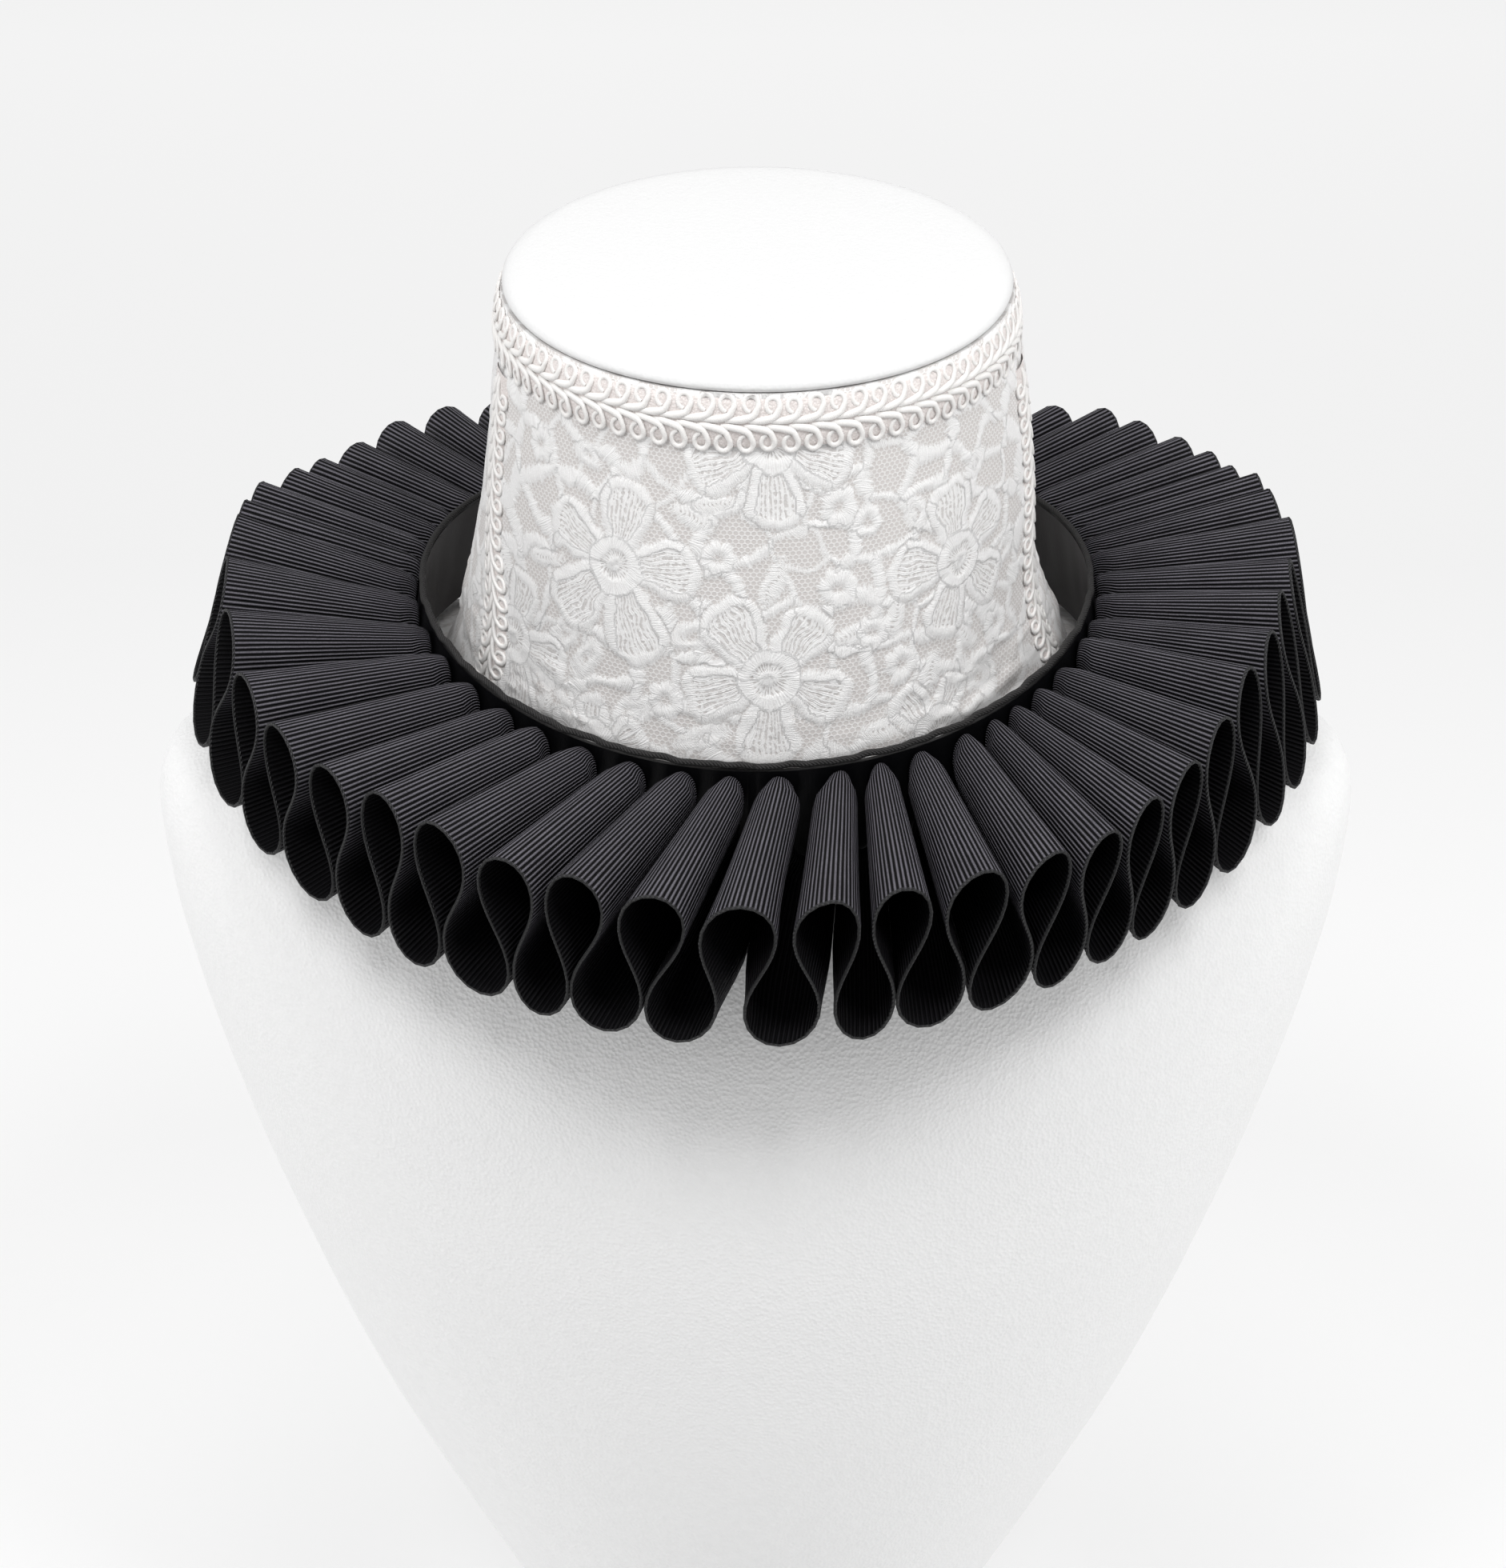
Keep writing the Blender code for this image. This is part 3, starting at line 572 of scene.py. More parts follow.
def ribbon_line(share):
    """Middle line of the ribbon at one share of its width: (pleats * TURN_POINTS, 3)."""
    step, lift, reach, parting, lean, twist = PLEATS.T
    rim = np.radians(FIRST_FOLD + np.concatenate([[0.0], np.cumsum(step[:-1])]))
    opening = smooth(share / INNER_SECTION)
    run, level = fold_line(blend(SEWN_SWING, OPEN_SWING, opening), TURN_POINTS)
    sag = (1.0 - level) / 2.0
    aside = np.abs(TURN - 0.5)
    rising = (TURN < 0.5)[None, :]

    def between(column):
        other = np.where(rising, np.roll(column, 1)[:, None], np.roll(column, -1)[:, None])
        return blend(column[:, None], other, aside)

    # where it is sewn to the band; the upper end rounds down to it like a fingertip
    angle = fold_angles(rim + np.radians(twist), np.zeros(len(rim)), run, level,
                        np.full(len(rim), RIBBON_THICKNESS / BAND_TOP[0]))
    upper, lower = inner_heights(angle)
    half = (upper - lower) / 2.0
    height = (upper + lower) / 2.0 + level * half * blend(INNER_HEIGHT_SHARE, 1.0, opening)
    inner = band_point(angle, band_top_height(angle) - height, BAND_THICKNESS + SEAM_GAP)
    rounding = math.sqrt(1.0 - (1.0 - min(share / INNER_ROUNDING, 1.0)) ** 2)
    inner[..., 2] += level * half * (blend(INNER_HEIGHT_SHARE, 1.0, rounding)
                                     - blend(INNER_HEIGHT_SHARE, 1.0, opening))
    # the outer selvedge
    open_below = parting * smooth((share - PARTING_FROM) / (1.0 - PARTING_FROM))
    angle = fold_angles(rim, np.radians(lean), run, level,
                        (RIBBON_THICKNESS + open_below) / RIM_RADIUS)
    angle = angle + WOBBLE[:, None] * np.sin(2 * PI * TURN) * sag * share
    upper, lower = rim_heights(angle)
    low_radius = LOW_RIM_RADIUS - LOW_RIM_SPREAD * np.cos(2.0 * angle)
    radius = blend(RIM_RADIUS + between(reach), low_radius, sag)
    outer = stack(radius * np.sin(angle), -radius * np.cos(angle),
                  blend(upper + between(lift), lower, sag))
    return blend(inner, outer, share).reshape(-1, 3)


def ribbon_sides(line):
    """At each point of a closed line: outward from the axis, and square to the ribbon's wall."""
    radial = unit(line * np.array([1.0, 1.0, 0.0]))
    return radial, unit(np.cross(radial, np.roll(line, -1, 0) - np.roll(line, 1, 0)))


def make_ruff():
    lines = [ribbon_line(share) for share in RIM_ROWS]
    over, under = (np.stack([line + ribbon_sides(line)[1] * away for line in lines])
                   for away in (-RIBBON_THICKNESS / 2, RIBBON_THICKNESS / 2))
    rim = lines[-1]
    length = np.concatenate([[0.0], np.cumsum(np.linalg.norm(np.diff(rim, axis=0), axis=1))])
    whole = length[-1] + np.linalg.norm(rim[0] - rim[-1])
    cols = len(rim)
    verts, quads = shell(over, under)
    # a whole number of ribs, so that they meet at the ribbon's join
    round_mm = round(whole / RIB_PITCH) * RIB_PITCH
    u = length * (round_mm / whole)
    v = np.array(RIM_ROWS) * RIBBON_WIDTH
    # painted light and shade: pale on top of the upper folds, painted shade black deep in the
    # pleats
    upper = np.tile((1.0 - np.cos(2 * PI * TURN)) / 2.0, len(PLEATS))
    painted_pleat_light = np.concatenate([np.tile(0.06 + 0.22 * smooth(0.7 - upper), len(lines)),
                              np.tile(0.05 + 0.95 * smooth(upper * 1.4 - 0.15), len(lines))])
    ruff = add_mesh("ruff_cloth", verts, quads, attrs={"open": painted_pleat_light}, sharp=60,
                    uv=np.tile(pairs(u[None, :], v[:, None]), (2, 1)),
                    material=grosgrain_material())
    # across the join the coordinate runs on and doesn't fall back to 0
    layer = ruff.data.uv_layers["cloth"].data
    flat = np.zeros(len(layer) * 2)
    layer.foreach_get("uv", flat)
    flat = flat.reshape(-1, 4, 2)
    along = flat[:, :, 0]
    wrapped = np.ptp(along, axis=1) > whole / 2
    along += np.where(wrapped[:, None] & (along < whole / 2), round_mm, 0.0)
    layer.foreach_set("uv", flat.ravel())
    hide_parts("ruff_ribbon")
    # the woven outer edge, a round cord that sits 0.25 mm in from the rim
    sides, edge_radius, inset = 7, 0.42, 0.25
    radial, square = ribbon_sides(rim)
    turn = turns(sides)[None, :, None]
    ring = rim[:, None] - radial[:, None] * inset + edge_radius * (
        np.cos(turn) * radial[:, None] + np.sin(turn) * square[:, None])
    m = Nodes("black_selvedge", (0.016, 0.016, 0.018), 0.6)
    _, u, v = m.uv()
    twist = m.wave(m.plus(u, v), RIB_PITCH)
    m.bump(twist, 0.12, 0.9)
    # painted light and shade along the twist
    m.colour(m.remap(twist, -1.0, 1.0), (0.003, 0.003, 0.0035), (0.013, 0.013, 0.0145))
    edge = add_mesh("ruff_selvedge", ring, ring_quads(cols, sides),
                    uv=pairs(length[:, None], np.arange(sides)[None, :] * 0.47),
                    material=m.material)
    print("ruff ribbon length", round(whole), "mm")


# ------------ lace

FLOWERS = np.array([
    # angle height radius turn
    (-30, 38, 23, 8), (2.5, 15.5, 21, -90), (46, 34, 20, 28),
    (3, 72, 20, -90), (-58, 8, 19, 0), (-32, -8, 14, 30),
    (38, -6, 15, 60), (103, 44, 22, 10), (132, 10, 21, -50),
    (158, 48, 21, 30), (186, 14, 22, -90), (212, 46, 21, 0),
    (240, 10, 21, 40), (262, 46, 20, 70)])
ROSETTES = np.array([
    # angle height radius turn, here in radians
    (17, 55.5, 5, 0.3), (23, 51, 4.2, 1), (16.5, 36, 5.2, 0.6), (30, 14, 4.6, 0.2),
    (24, 24, 4.2, 0.9), (-8, 44, 4.4, 0.5), (-18, 8, 4.6, 0.1), (57, 12, 4.8, 0.7),
    (-52, 60, 4.8, 0.4), (120, 58, 5, 0.2), (172, 30, 5, 0.5), (226, 30, 4.8, 0.9),
    (146, 28, 4.6, 0.1), (248, 60, 4.8, 0.6)])
LACE_RADIUS = 66.0
# heights between the band and the neck braid, where the lace shows and needs fine rows
LACE_SHOWS = (-8.0, 70.0)
NET_PITCH = 1.28
CORD_PITCH, CORD_JITTER, CORD_BEND = 11.8, 4.8, 4.2
# of a flower: its tufted middle's radius, and its petals' border
MIDDLE, BORDER = 6.9, 2.2


def value_noise(x, y, seed):
    """Smooth random values 0 to 1 on a unit grid."""
    xi, yi = np.floor(x).astype(np.int64), np.floor(y).astype(np.int64)
    fx, fy = smooth(x - xi), smooth(y - yi)

    def corner(i, j):
        h = (i * 374761393 + j * 668265263 + seed * 974711) & 0x7FFFFFFF
        h = ((h ^ (h >> 13)) * 1274126177) & 0x7FFFFFFF
        return ((h ^ (h >> 16)) & 0xFFFF) / 65535.0

    top = blend(corner(xi, yi), corner(xi + 1, yi), fx)
    bottom = blend(corner(xi, yi + 1), corner(xi + 1, yi + 1), fx)
    return blend(top, bottom, fy)


def bent(x, y, cell, amount, seed, shift):
    """The points moved about smoothly, by up to half the amount each way."""
    return (x + (value_noise(x / cell, y / cell, seed) - 0.5) * amount,
            y + (value_noise(x / cell + shift, y / cell, seed + 2) - 0.5) * amount)


def rounded(first, second, radius):
    """The smaller of two distances from an edge, with a rounded corner between the edges."""
    corner = radius - np.hypot(np.maximum(radius - first, 0.0), np.maximum(radius - second, 0.0))
    return np.where((first < radius) & (second < radius), corner, np.minimum(first, second))


def cloth_bulge(angle, height):
    """How far the neckpiece stands off the neck at its sides."""
    left = np.interp(height, (-34.5, -22, -12, -3, 10, 27, 45), (0, 0, 1.8, 3.0, 2.5, 0.8, 0))
    right = np.interp(height, (-34.5, -24, -12, -3, 6, 15, 35, 55, 75, 83.5),
                      (0, 0.5, 3.2, 2.6, 1.2, 1.0, 1.6, 1.3, 0.4, 0))
    side = np.sin(angle)
    return smooth((np.abs(side) - 0.8) / 0.2) * np.where(side < 0.0, left, right)


def seam_lean(height, name):
    """Radians that a side seam runs further round than at its middle."""
    if name == "left":
        return np.radians(np.interp(height, (-8, 2, 13, 26, 37, 50),
                                    (4.9, 4.9, 3.8, -1.3, -3.3, -4.4)))
    return np.radians(np.interp(height, (10, 20, 40), (-2.5, -2.0, 0)))


def leaned(angle, height):
    """Angles of a panel's points, with the columns near the side seams leaning with them."""
    for name, seam in zip(("left", "right"), SIDE_SEAMS):
        away = np.abs((angle - seam + PI) % (2 * PI) - PI)
        angle = angle + seam_lean(height, name) * smooth(1.0 - away / 0.45)
    return angle


def lace_bars(x, y, local, seed):
    """Knotted cords along the edges of irregular cells of the net."""
    gx, gy = np.meshgrid(*(np.arange(g.min() - CORD_PITCH, g.max() + CORD_PITCH * 1.5, CORD_PITCH)
                           for g in (x, y)))
    seeds = pairs(gx, gy) + local.uniform(-CORD_JITTER, CORD_JITTER, (gx.size, 2))
    bent_x, bent_y = bent(x, y, 6, CORD_BEND, seed + 9, 40)
    near, second = np.full(x.shape, 1e9), np.full(x.shape, 1e9)
    first_id, second_id = np.zeros(x.shape, int), np.zeros(x.shape, int)
    for k, (sx, sy) in enumerate(seeds):
        d = (bent_x - sx) ** 2 + (bent_y - sy) ** 2
        closer = d < near
        middle = ~closer & (d < second)
        second = np.where(closer, near, np.where(middle, d, second))
        second_id = np.where(closer, first_id, np.where(middle, k, second_id))
        near = np.where(closer, d, near)
        first_id = np.where(closer, k, first_id)
    a, b = seeds[first_id], seeds[second_id]
    gap = np.maximum(np.linalg.norm(b - a, axis=-1), 1e-6)
    aside = (second - near) / (2.0 * gap)
    direction = (b - a) / gap[..., None]
    along = ((bent_x - (a[..., 0] + b[..., 0]) / 2) * -direction[..., 1]
             + (bent_y - (a[..., 1] + b[..., 1]) / 2) * direction[..., 0])
    pair = np.minimum(first_id, second_id) * 1009 + np.maximum(first_id, second_id)
    chance = ((pair * 2654435761) % 1000) / 1000.0
    width = np.where(chance < 0.22, 0.65, np.where(chance < 0.55, 1.15, 1.65))
    puff = np.abs(np.sin(np.abs(along) * PI / 2.1 + chance * 3.0))
    dense = smooth((np.abs(np.sin(x / LACE_RADIUS)) - 0.62) / 0.25) * (np.cos(x / LACE_RADIUS) > 0)
    width = width * (1.0 + 0.6 * dense)
    return width * (0.78 + 0.42 * puff) - aside, np.abs(along), aside, width


def lace_leaf(px, py, length, half):
    """A broad leaf is a border round an open middle; a slim one has a loose vein."""
    broad = half > 2.9
    q = np.hypot(px / length, py / half)
    depth = (1.0 - q) * half + 0.25 * np.abs(np.sin(px * PI / 1.9)) - 0.12
    if broad:
        depth = np.minimum(depth, 2.3 - depth)
    vein = (not broad) * smooth((0.7 - np.abs(py)) / 0.4) * (q < 0.7)
    return depth, px + np.abs(py) * 0.5, py, vein, np.full(px.shape, 0.85)


def lace_rosette(px, py, size, turn):
    reach, way = np.hypot(px, py), np.arctan2(py, px)
    outline = size * (0.86 + 0.17 * np.abs(np.sin(3.5 * (way - turn))))
    depth = np.minimum(outline - reach, reach - 0.26 * size)
    return depth, way * size * 0.62, reach, np.zeros(px.shape), np.full(px.shape, 0.9)


def lace_flower(px, py, radius, turn, local):
    """Five petals: a satin-stitched border round long loose threads, and a tufted middle."""
    reach, way = np.hypot(px, py), np.arctan2(py, px) - turn
    bends, sizes = local.uniform(-0.09, 0.09, 5), radius * local.uniform(0.93, 1.12, 5)
    which = np.floor((way + PI / 5) / (2 * PI / 5)).astype(int) % 5
    part = (way + PI / 5) % (2 * PI / 5) - PI / 5 + bends[which]
    size = sizes[which]
    a, b = reach * np.cos(part), reach * np.sin(part)
    share = np.clip((a / size - 0.22) / 0.58, 0.0, 1.0)
    half = size * (0.185 + 0.185 * share ** 0.85)
    side = half - np.abs(b)
    end = size * (0.99 - 0.10 * (b / half) ** 2) - a
    petal = rounded(side, end, 0.24 * size)
    depth = np.maximum(petal, 6.6 - reach)
    at_side = side < end
    across = np.where(at_side, a + 40.0, b)
    run = np.where(at_side, b, a)
    inside = smooth((petal - BORDER) / 0.8) * smooth((reach - MIDDLE) / 0.7)
    row = np.exp(-((petal - 2.9) / 0.55) ** 2) * (end < side + 1.5)
    loose = inside * (0.85 + 0.35 * row)
    across = np.where(inside > 0.3, b * (0.75 * radius * 0.33) / np.maximum(half * 0.78, 1.0),
                      across)
    run = np.where(inside > 0.3, a, run)
    relief = 1.0 - 0.40 * inside
    middle = reach < MIDDLE
    dark = smooth((reach - 1.5) / 0.8) * smooth((4.3 - reach) / 0.8)
    across = np.where(middle, way * 4.6, across)
    run = np.where(middle, reach, run)
    loose = np.where(middle, 1.25 * dark, loose)
    relief = np.where(middle, 1.0 - 0.75 * dark, relief)
    return depth, across, run, loose, relief


def lace_pattern(x, y, seed):
    """Embroidery on net at flat points in mm: depth inside the raised work, the coordinates
    across and along its threads, how loose they are, and the relief."""
    local = np.random.default_rng(seed)
    depth, across, run, width = lace_bars(x, y, local, seed)
    loose = np.zeros(x.shape)
    relief = np.clip(width / 1.45, 0.35, 1.0) * 0.9
    shapes, first, last = [], x.min() - 30, x.max() + 30
    for angle, cy, radius, turn in FLOWERS:
        for once_round in (-2 * PI, 0.0, 2 * PI):
            cx = (math.radians(angle) + once_round) * LACE_RADIUS
            if not first <= cx <= last:
                continue
            for k in range(5):
                way = math.radians(turn) + (k + 0.5) * 2 * PI / 5 + local.uniform(-0.2, 0.2)
                out = radius * local.uniform(0.92, 1.15)
                shapes.append(("leaf", cx + out * math.cos(way), cy + out * math.sin(way),
                               local.uniform(4.5, 7.0), local.uniform(2.3, 3.5),
                               way + local.uniform(-1.0, 1.0)))
            shapes.append(("flower", cx, cy, radius, 0.0, math.radians(turn)))
    for angle, cy, size, turn in ROSETTES:
        shapes.append(("rosette", math.radians(angle) * LACE_RADIUS, cy, size, 0.0, turn))
    shapes.sort(key=lambda shape: ("leaf", "rosette", "flower").index(shape[0]))
    bent_x, bent_y = bent(x, y, 3.1, 1.5, seed + 21, 70)
    for kind, cx, cy, size, half, turn in shapes:
        here = (x - cx) ** 2 + (y - cy) ** 2 < (size * 1.15 + 3.0) ** 2
        if not here.any():
            continue
        px, py = bent_x[here] - cx, bent_y[here] - cy
        if kind == "leaf":
            px, py = (px * math.cos(turn) + py * math.sin(turn),
                      -px * math.sin(turn) + py * math.cos(turn))
            found = lace_leaf(px, py, size, half)
        elif kind == "rosette":
            found = lace_rosette(px, py, size, turn)
        else:
            found = lace_flower(px, py, size, turn, local)
        wins = found[0] > np.minimum(depth[here], -0.2 if kind == "flower" else 0.4)
        if kind == "rosette":
            wins = wins | (np.hypot(px, py) < size * 0.5)
        for layer, values in zip((depth, across, run, loose, relief), found):
            layer[here] = np.where(wins, values, layer[here])
    fuzz = (value_noise(x / 0.9, y / 0.9, seed) - 0.5) * 0.7
    dome = smooth((depth + fuzz * 0.6 + 0.5) / 2.0) ** 0.8
    height = dome * relief + 0.10 * fuzz * (depth > 0)
    return np.clip(depth, -3.0, 4.0), across, run, loose, height


def lace_material():
    m = Nodes("white_lace", (0.85, 0.84, 0.83), 0.92, Sheen_Weight=0.2, Sheen_Roughness=0.5)
    uv, u, v = m.uv()
    depth, across, run, loose = (m.attr(key) for key in ("depth", "across", "run", "loose"))

    def threads(per_mm, along_per_mm, shift, detail=2.0):
        vector = m.combine(m.times(across, per_mm), m.times(run, along_per_mm), shift)
        return m.noise(vector, 1.0, detail, 0.55)

    stitch, fine, gaps = (threads(1.5, 0.12, 3.0, 1.0), threads(3.4, 0.25, 9.0),
                          threads(0.7, 0.95, 17.0, 1.0))
    fibre = m.noise(uv, 2.4, 4.0, 0.7)

    def stripes(per_mm, wander):
        return m.wave(m.times_plus(m.minus(stitch, 0.5), wander, m.times(across, per_mm)))

    teeth, satin = stripes(1.02, 0.9), stripes(2.1, 1.4)
    # the raised work's ragged outline
    ragged = m.plus(m.times(m.minus(stitch, 0.5), 2.0), m.times(m.minus(fibre, 0.5), 2.6))
    inside = m.plus(depth, m.plus(ragged, m.times(teeth, 0.30)))
    cover = m.remap(inside, -0.35, 0.15)
    # a hexagonal net, lighter than the lining behind it
    k = 2 * PI / NET_PITCH * 1.155
    waves = [m.math("COSINE", m.times(m.plus(m.times(u, math.sin(t) * 0.91),
                                             m.times(v, math.cos(t) * 1.12)), k))
             for t in (0.0, PI / 3, 2 * PI / 3)]
    hexes = m.plus(m.plus(waves[0], waves[1]), waves[2])
    net = m.remap(hexes, -0.90, -0.40, 1.0, 0.0)
    # painted shadow on the net next to the raised work
    painted_shade = m.remap(inside, -1.5, 0.1)
    net_colour = m.mix(net, (0.610, 0.580, 0.565), (0.780, 0.765, 0.755))
    net_colour = m.mix(m.times(painted_shade, 0.30), net_colour, (0.54, 0.51, 0.495))
    tone = m.plus(m.plus(m.times(fine, 0.6), m.times(fibre, 0.5)), m.times(satin, 0.10))
    raised = m.mix(m.remap(tone, 0.33, 0.72), (0.790, 0.779, 0.773), (0.930, 0.926, 0.922))
    # painted shade along the raised work's edges, where it slopes down
    rim = m.remap(inside, 0.0, 0.9, 1.0, 0.0)
    raised = m.mix(m.times(rim, 0.22), raised, (0.74, 0.724, 0.715))
    # dark slits between the long loose threads
    slit = m.times_plus(m.minus(gaps, 0.5), 5.0, stripes(0.92, 0.7))
    open_at = m.times(loose, m.remap(slit, 0.20, 0.90), clamp=True)
    raised = m.mix(m.times(open_at, 0.75), raised, (0.50, 0.470, 0.455))
    # painted shade: the gap by the band is a little darker low down
    painted_low_shade = m.remap(v, 12.0, -20.0, 0.0, 0.20)
    m.colour(painted_low_shade, m.mix(cover, net_colour, raised), (0.40, 0.38, 0.37))
    grain = m.minus(m.plus(m.times(fine, 0.7), m.times(fibre, 0.9)), 0.8)
    relief = m.times_plus(cover, m.plus(grain, m.times(satin, 0.10)),
                          m.remap(inside, -0.9, 1.1, 0.0, 0.25))
    relief = m.plus(relief, m.times(net, m.times(m.minus(1.0, cover), 0.25)))
    m.bump(m.minus(relief, m.times(open_at, 0.3)), 0.26, 0.75)
    return m.material


def make_lace_panel(name, node, start, end, cell, seed, material):
    """A fine grid whose points the pattern raises, with its edges turned down to the bust."""
    width = (end - start) * LACE_RADIUS
    cols = int(width / cell) + 1
    angle = np.linspace(start, end, cols)
    heights = np.concatenate([np.linspace(LACE_HEM, LACE_SHOWS[0], 14)[:-1],
                              np.linspace(*LACE_SHOWS, int(np.ptp(LACE_SHOWS) / cell) + 1),
                              [73.0, 77.0, 80.0, LACE_TOP]])
    A, H = np.meshgrid(angle, heights)
    A = leaned(A, H)
    x, y = A * LACE_RADIUS, H
    depth, across, run, loose, height = lace_pattern(x, y, seed)
    at_sides = 0.25 + 0.75 * smooth((np.abs(np.sin(A)) - 0.35) / 0.4)
    creases = (smooth((14.0 - H) / 14.0) * smooth((H + 26.0) / 8.0) * at_sides
               * (np.maximum(value_noise(x / 10.0, y / 3.6, seed + 31) - 0.35, 0.0) * 1.3
                  + np.maximum(value_noise(x / 4.0, y / 2.2, seed + 37) - 0.4, 0.0) * 0.8))
    half_span = (end - start) / 2
    to_edge = (half_span - np.abs(angle[None, :] - (start + end) / 2)) * LACE_RADIUS
    fade = smooth((69.5 - H) / 2.5) * smooth(to_edge / 4.0) * smooth((H + 28.0) / 10.0)
    pressed = 0.4 + 0.6 * smooth((H - 2.0) / 5.0)
    # below the band's top edge the cloth keeps clear of the band
    top = band_top_height(A)
    cloth = neck_point(A, H, np.full(A.shape, SEAM_GAP + LACE_THICKNESS))
    band_wall = band_point(A, np.clip(top - H, 0.0, BAND_HEIGHT), 0.0)
    room = from_axis(band_wall) - from_axis(cloth) - 0.25
    room = blend(np.maximum(room, 0.0), 9.0, smooth((H - top) / 2.5))
    lift = np.minimum((height * LACE_RELIEF * pressed + creases) * fade + cloth_bulge(A, H), room)
    points = neck_point(A, H, SEAM_GAP + LACE_THICKNESS + lift)
    rows = len(heights)
    verts, quads = [points.reshape(-1, 3)], [grid_quads(rows, cols, False)]
    n = rows * cols
    for ids, angles, hs, flip in (
            (np.arange(cols), A[0], H[0], True),
            ((rows - 1) * cols + np.arange(cols), A[-1], H[-1], False),
            (np.arange(rows) * cols, A[:, 0], heights, False),
            (np.arange(rows) * cols + cols - 1, A[:, -1], heights, True)):
        verts.append(neck_point(angles, hs, np.full(len(ids), SEAM_GAP)))
        new = n + np.arange(len(ids))
        quads.append(strip_quads(ids[:-1], ids[1:], new[1:], new[:-1], flip))
        n += len(ids)
    extra = n - rows * cols
    uv = np.concatenate([pairs(x, y), np.zeros((extra, 2))])
    attrs = {key: np.concatenate([values.ravel(), np.zeros(extra)]) for key, values in
             (("depth", depth), ("across", across), ("run", run), ("loose", loose))}
    panel = add_mesh(name, np.concatenate(verts), np.concatenate(quads), uv=uv, attrs=attrs,
                     material=material)
    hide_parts(node)
    return panel


# ------------ gimp braid

RING_R, RING_OUT = 1.60, 4.50
FLATTEN = 0.6
LOOP_PITCH, SIDE_PITCH, SIDE_LOOPS = 5.1, 4.4, 21
NECK_BRAID_RADIUS = 62.2


def loop_path():
    """One loop of gimp, flat: s along the braid, w away from its middle, z above it."""
    turn = np.radians(np.linspace(262.0, -38.0, 15))
    ring = np.stack([RING_R * np.cos(turn), RING_OUT + 1.14 * RING_R * np.sin(turn),
                     np.linspace(0.35, 0.85, 15)], -1)
    keys = np.array([ring[-1], (0.62, 2.05, 0.95), (-0.75, 1.35, 1.0), (-2.5, 0.92, 0.95),
                     (-4.2, 0.72, 0.65), (-5.6, 0.55, 0.35)])
    t = np.linspace(0, len(keys) - 1, 10)
    tail = np.stack([smooth_curve(np.arange(len(keys)), keys[:, k], t) for k in range(3)], -1)[1:]
    path = np.concatenate([ring, tail])
    radius = np.concatenate([np.linspace(0.54, 0.70, len(ring)),
                             np.interp(np.linspace(0, 1, len(tail)), [0, 0.35, 0.7, 1.0],
                                       [0.76, 0.92, 0.86, 0.48])])
    return path, radius


def braid_mesh(count, place, pitch=LOOP_PITCH):
    """Two mirrored rows of loops; place(s, w, z) puts a flat point on the neck."""
    path, radius = loop_path()
    verts, quads, uvs, n = [], [], [], 0
    sides = 6
    run = np.concatenate([[0], np.cumsum(np.linalg.norm(np.diff(path, axis=0), axis=1))])
    for k in range(count):
        for side in (-1.0, 1.0):
            s = (k + (0.18 if side > 0 else 0.0)) * pitch + rng.normal(0, 0.12)
            size = 1.0 + rng.normal(0, 0.03)
            flat = path * np.array([size * pitch / LOOP_PITCH, side * size, 1.0])
            flat[:, 0] += s
            tube = sweep(flat, radius, np.array([0.0, 0.0, 1.0]), sides)
            tube[..., 2] = (np.maximum(tube[..., 2], 0.0) * FLATTEN
                            - 0.38 * smooth((np.abs(tube[..., 1]) - 3.6) / 2.2))
            verts.append(place(tube[..., 0], tube[..., 1], tube[..., 2]).reshape(-1, 3))
            q = grid_quads(len(path), sides, True, n)
            quads.append(q if side > 0 else q[:, ::-1])
            uvs.append(pairs(run[:, None], np.arange(sides)[None, :] * 0.8))
            n += len(path) * sides
    return np.concatenate(verts), np.concatenate(quads), np.concatenate(uvs)


def cord_material():
    m = Nodes("white_gimp_cord", (0.88, 0.86, 0.84), 0.36, Sheen_Weight=0.1)
    uv, u, v = m.uv()
    wrap = m.wave(m.plus(u, m.times(v, 0.25)), 0.42)
    fibre = m.noise(uv, 4.0, 3.0)
    m.bump(m.plus(m.times(wrap, 0.35), fibre), 0.07, 0.7)
    m.colour(m.remap(fibre, 0.3, 0.7), (0.83, 0.81, 0.79), (0.90, 0.885, 0.87))
    return m.material


def braid_ground_material():
    m = Nodes("gimp_ground", (0.76, 0.71, 0.69), 0.85)
    bits = m.voronoi(m.place(), 1900.0)
    m.bump(bits, 0.2, 0.8)
    m.colour(m.remap(bits, 0.1, 0.6), (0.86, 0.82, 0.805), (0.72, 0.665, 0.645))
    return m.material


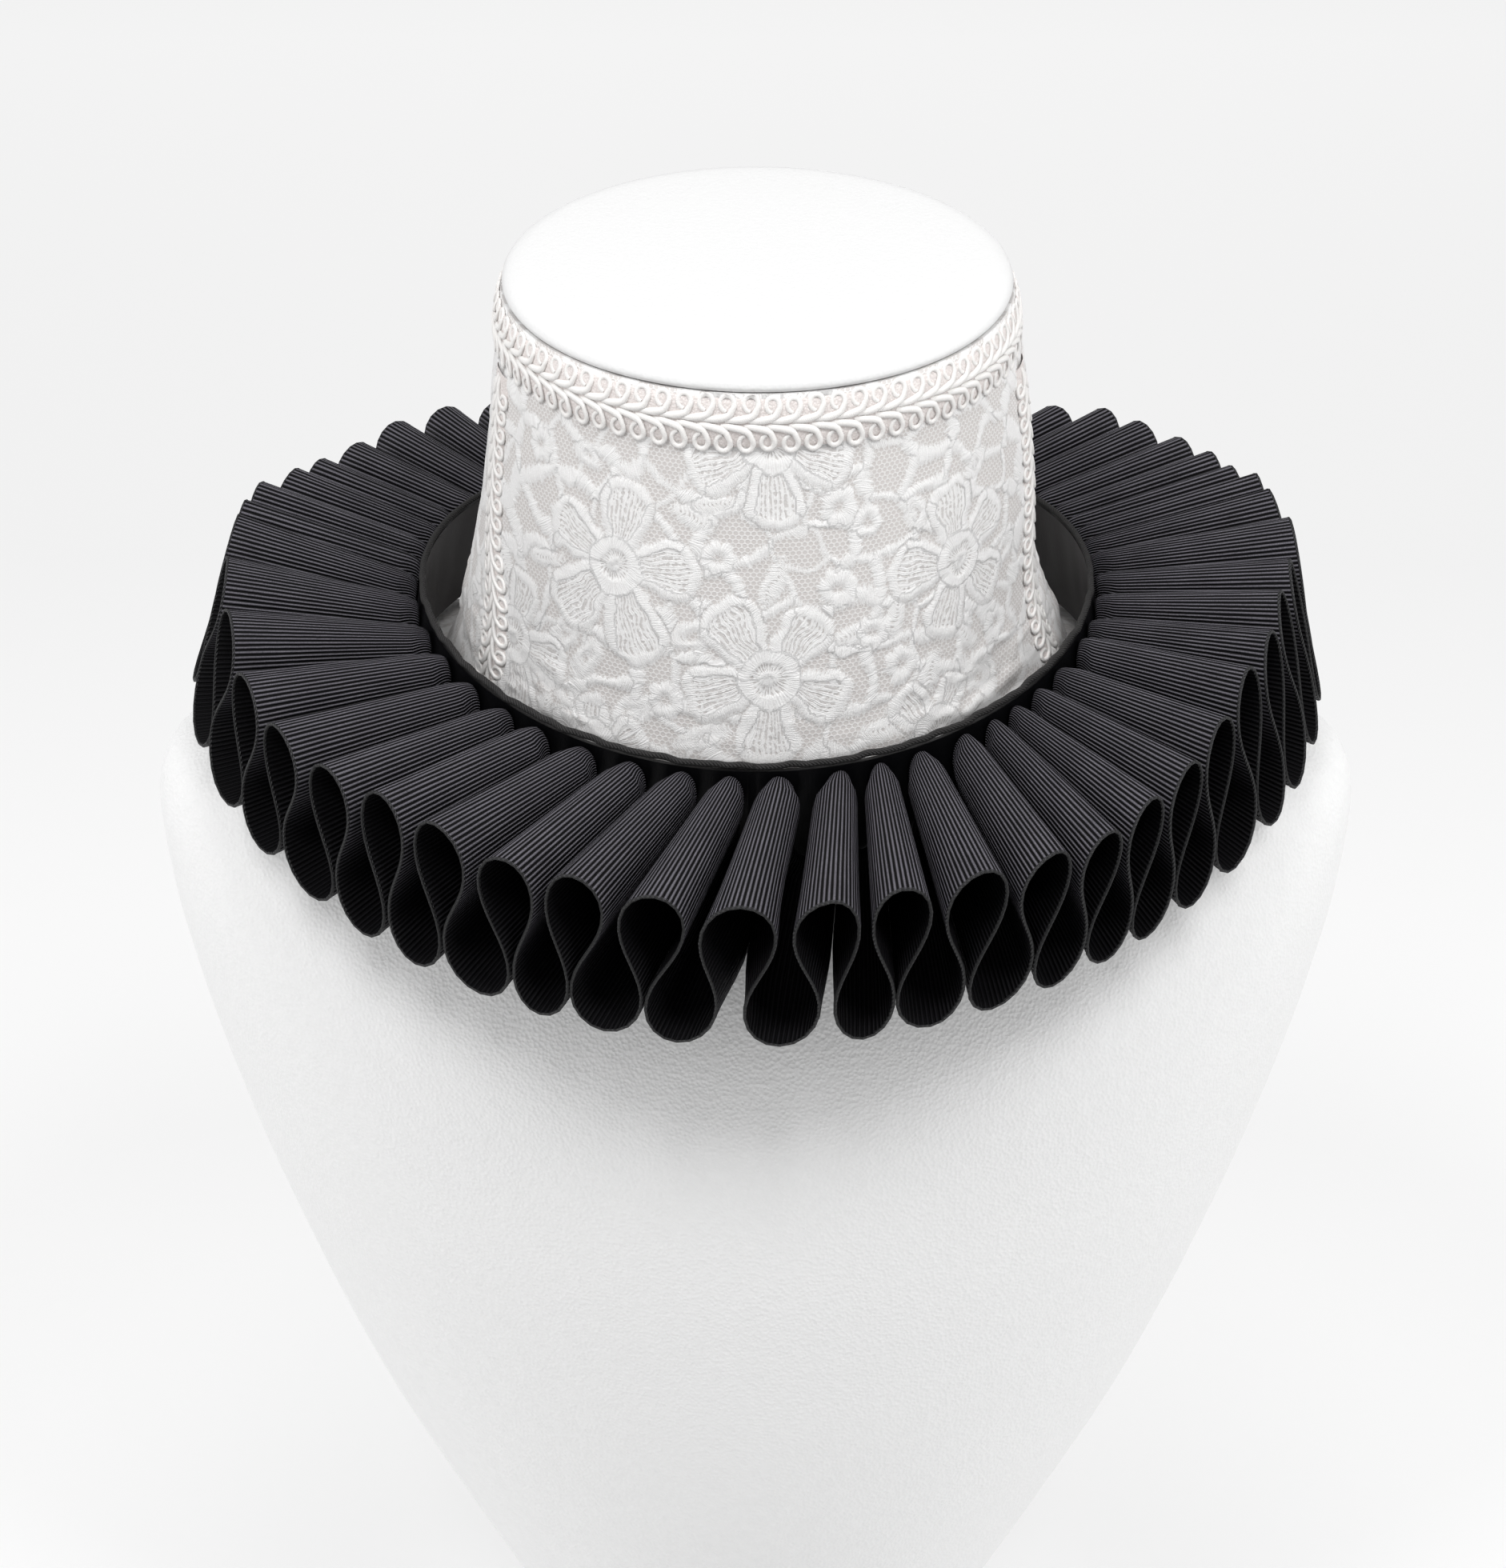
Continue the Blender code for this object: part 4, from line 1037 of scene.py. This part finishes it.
def make_braids():
    cord, ground = cord_material(), braid_ground_material()
    lift = SEAM_GAP * 2 + LACE_THICKNESS
    # round the neck edge, a little lower at the back
    count = round(2 * PI * NECK_BRAID_RADIUS / LOOP_PITCH)
    per_mm = 2 * PI / (count * LOOP_PITCH)

    def middle(angle):
        return LACE_TOP - BRAID_WIDTH / 2 - 0.5 + 0.95 * np.cos(angle)

    def place(s, w, z):
        angle = s * per_mm - PI
        return neck_point(angle, middle(angle) + w, lift + 0.12 + z)

    verts, quads, uvs = braid_mesh(count, place)
    top = add_mesh("neck_braid", verts, quads, uv=uvs, material=cord)
    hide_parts("braid_neck_edge")
    angle = turns(180)[None, :]
    offsets = np.array([-5.7, -4.6, -2.4, 0.0, 2.4, 5.2, 5.8])[:, None]
    away = lift + np.array([-0.30, 0.20, 0.42, 0.45, 0.42, 0.36, 0.0])[:, None]
    strip = neck_point(*np.broadcast_arrays(angle, middle(angle) + offsets, away))
    base = add_mesh("neck_braid_ground", strip, grid_quads(*strip.shape[:2], True), material=ground)
    made = [top, base]
    # down the side seams
    first = LACE_TOP - BRAID_WIDTH - 2.0
    for name, seam in zip(("left", "right"), SIDE_SEAMS):

        def place_side(s, w, z, seam=seam, name=name):
            h = np.maximum(first - 4.5 - s, LACE_HEM)
            turned = seam + seam_lean(h, name) + w * 0.86 / neck_radius(h)
            return neck_point(turned, h, lift + 0.12 + z + cloth_bulge(turned, h))

        verts, quads, uvs = braid_mesh(SIDE_LOOPS, place_side, SIDE_PITCH)
        braid = add_mesh("side_braid_" + name, verts, quads[:, ::-1], uv=uvs, material=cord)
        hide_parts("braid_side_" + name)
        rows = np.linspace(-25.0, first + 1.0, 60)[:, None]
        offsets = np.array([-5.0, -4.0, -2.2, 0.0, 2.2, 4.0, 5.0])
        away = lift + np.array([-0.30, 0.20, 0.42, 0.45, 0.42, 0.20, -0.30])
        A = seam + seam_lean(rows, name) + offsets / neck_radius(rows)
        strip = neck_point(A, np.broadcast_to(rows, A.shape), away + cloth_bulge(A, rows))
        base = add_mesh("side_braid_ground_" + name, strip, grid_quads(*strip.shape[:2], False),
                        material=ground)
        made += [braid, base]
    return made


# ------------ build

make_bust()
make_ruff()
band = make_band()
make_binding()
lace = lace_material()
half_gap = SEAM_GAP / NECK_TOP_RADIUS / 2
left_seam, right_seam = SIDE_SEAMS
CELL = 0.42
front = make_lace_panel("lace_cloth_front", "lace_front", left_seam + half_gap,
                        right_seam - half_gap, CELL, 3, lace)
back = make_lace_panel("lace_cloth_back", "lace_back", right_seam + half_gap,
                       left_seam + 2 * PI - half_gap, CELL * 1.35, 11, lace)
braids = make_braids()

# ------------ floor and light

FLOOR_HALF = 20000.0
LIGHTS = (
    # name place aim size power
    ("key_left", (-0.62, -0.62, 1.75), (0, -0.02, 0.3), 0.55, 11.6),
    ("key_right", (0.66, -0.60, 1.70), (0, -0.02, 0.3), 0.55, 11.6),
    ("above", (0.0, -0.05, 1.95), (0, -0.02, 0.3), 0.7, 6.6),
    ("side_left", (-1.30, -0.10, 0.75), (0, 0, 0.3), 0.8, 4.2),
    ("side_right", (1.30, -0.10, 0.75), (0, 0, 0.3), 0.8, 4.2))


def make_stage():
    m = Nodes("floor", (0.45, 0.45, 0.45), 0.9)
    # the floor glows: its emission is painted light
    m.shader.inputs["Emission Color"].default_value = (0.90, 0.90, 0.90, 1.0)
    # brighter far behind, and a little brighter in front, as in the photograph
    back = m.split(m.place())[1]
    m.set("Emission Strength", m.plus(m.remap(back, 0.65, 1.25, 0.52, 0.668),
                                      m.remap(back, 0.05, 0.40, 0.05, 0.0)))
    corners = [(x * FLOOR_HALF, y * FLOOR_HALF, -RUFF_PLANE)
               for x, y in ((-1, -1), (1, -1), (1, 1), (-1, 1))]
    floor = add_mesh("floor", corners, [(0, 1, 2, 3)], body=None, material=m.material)
    world = bpy.data.worlds.new("studio")
    bpy.context.scene.world = world
    world.use_nodes = True
    background = world.node_tree.nodes["Background"]
    background.inputs[0].default_value = (1.0, 1.0, 1.0, 1.0)
    background.inputs[1].default_value = 0.31


def area_light(name, place, aim, size, power):
    data = bpy.data.lights.new(name, "AREA")
    data.shape = "DISK"
    data.size = size
    data.energy = power
    light = bpy.data.objects.new(name, data)
    light.location = place
    light.rotation_euler = (Vector(aim) - Vector(place)).to_track_quat("-Z", "Y").to_euler()
    bpy.context.scene.collection.objects.link(light)


make_stage()
for light in LIGHTS:
    area_light(*light)
view = bpy.context.scene.view_settings
view.view_transform, view.look = "Standard", "None"
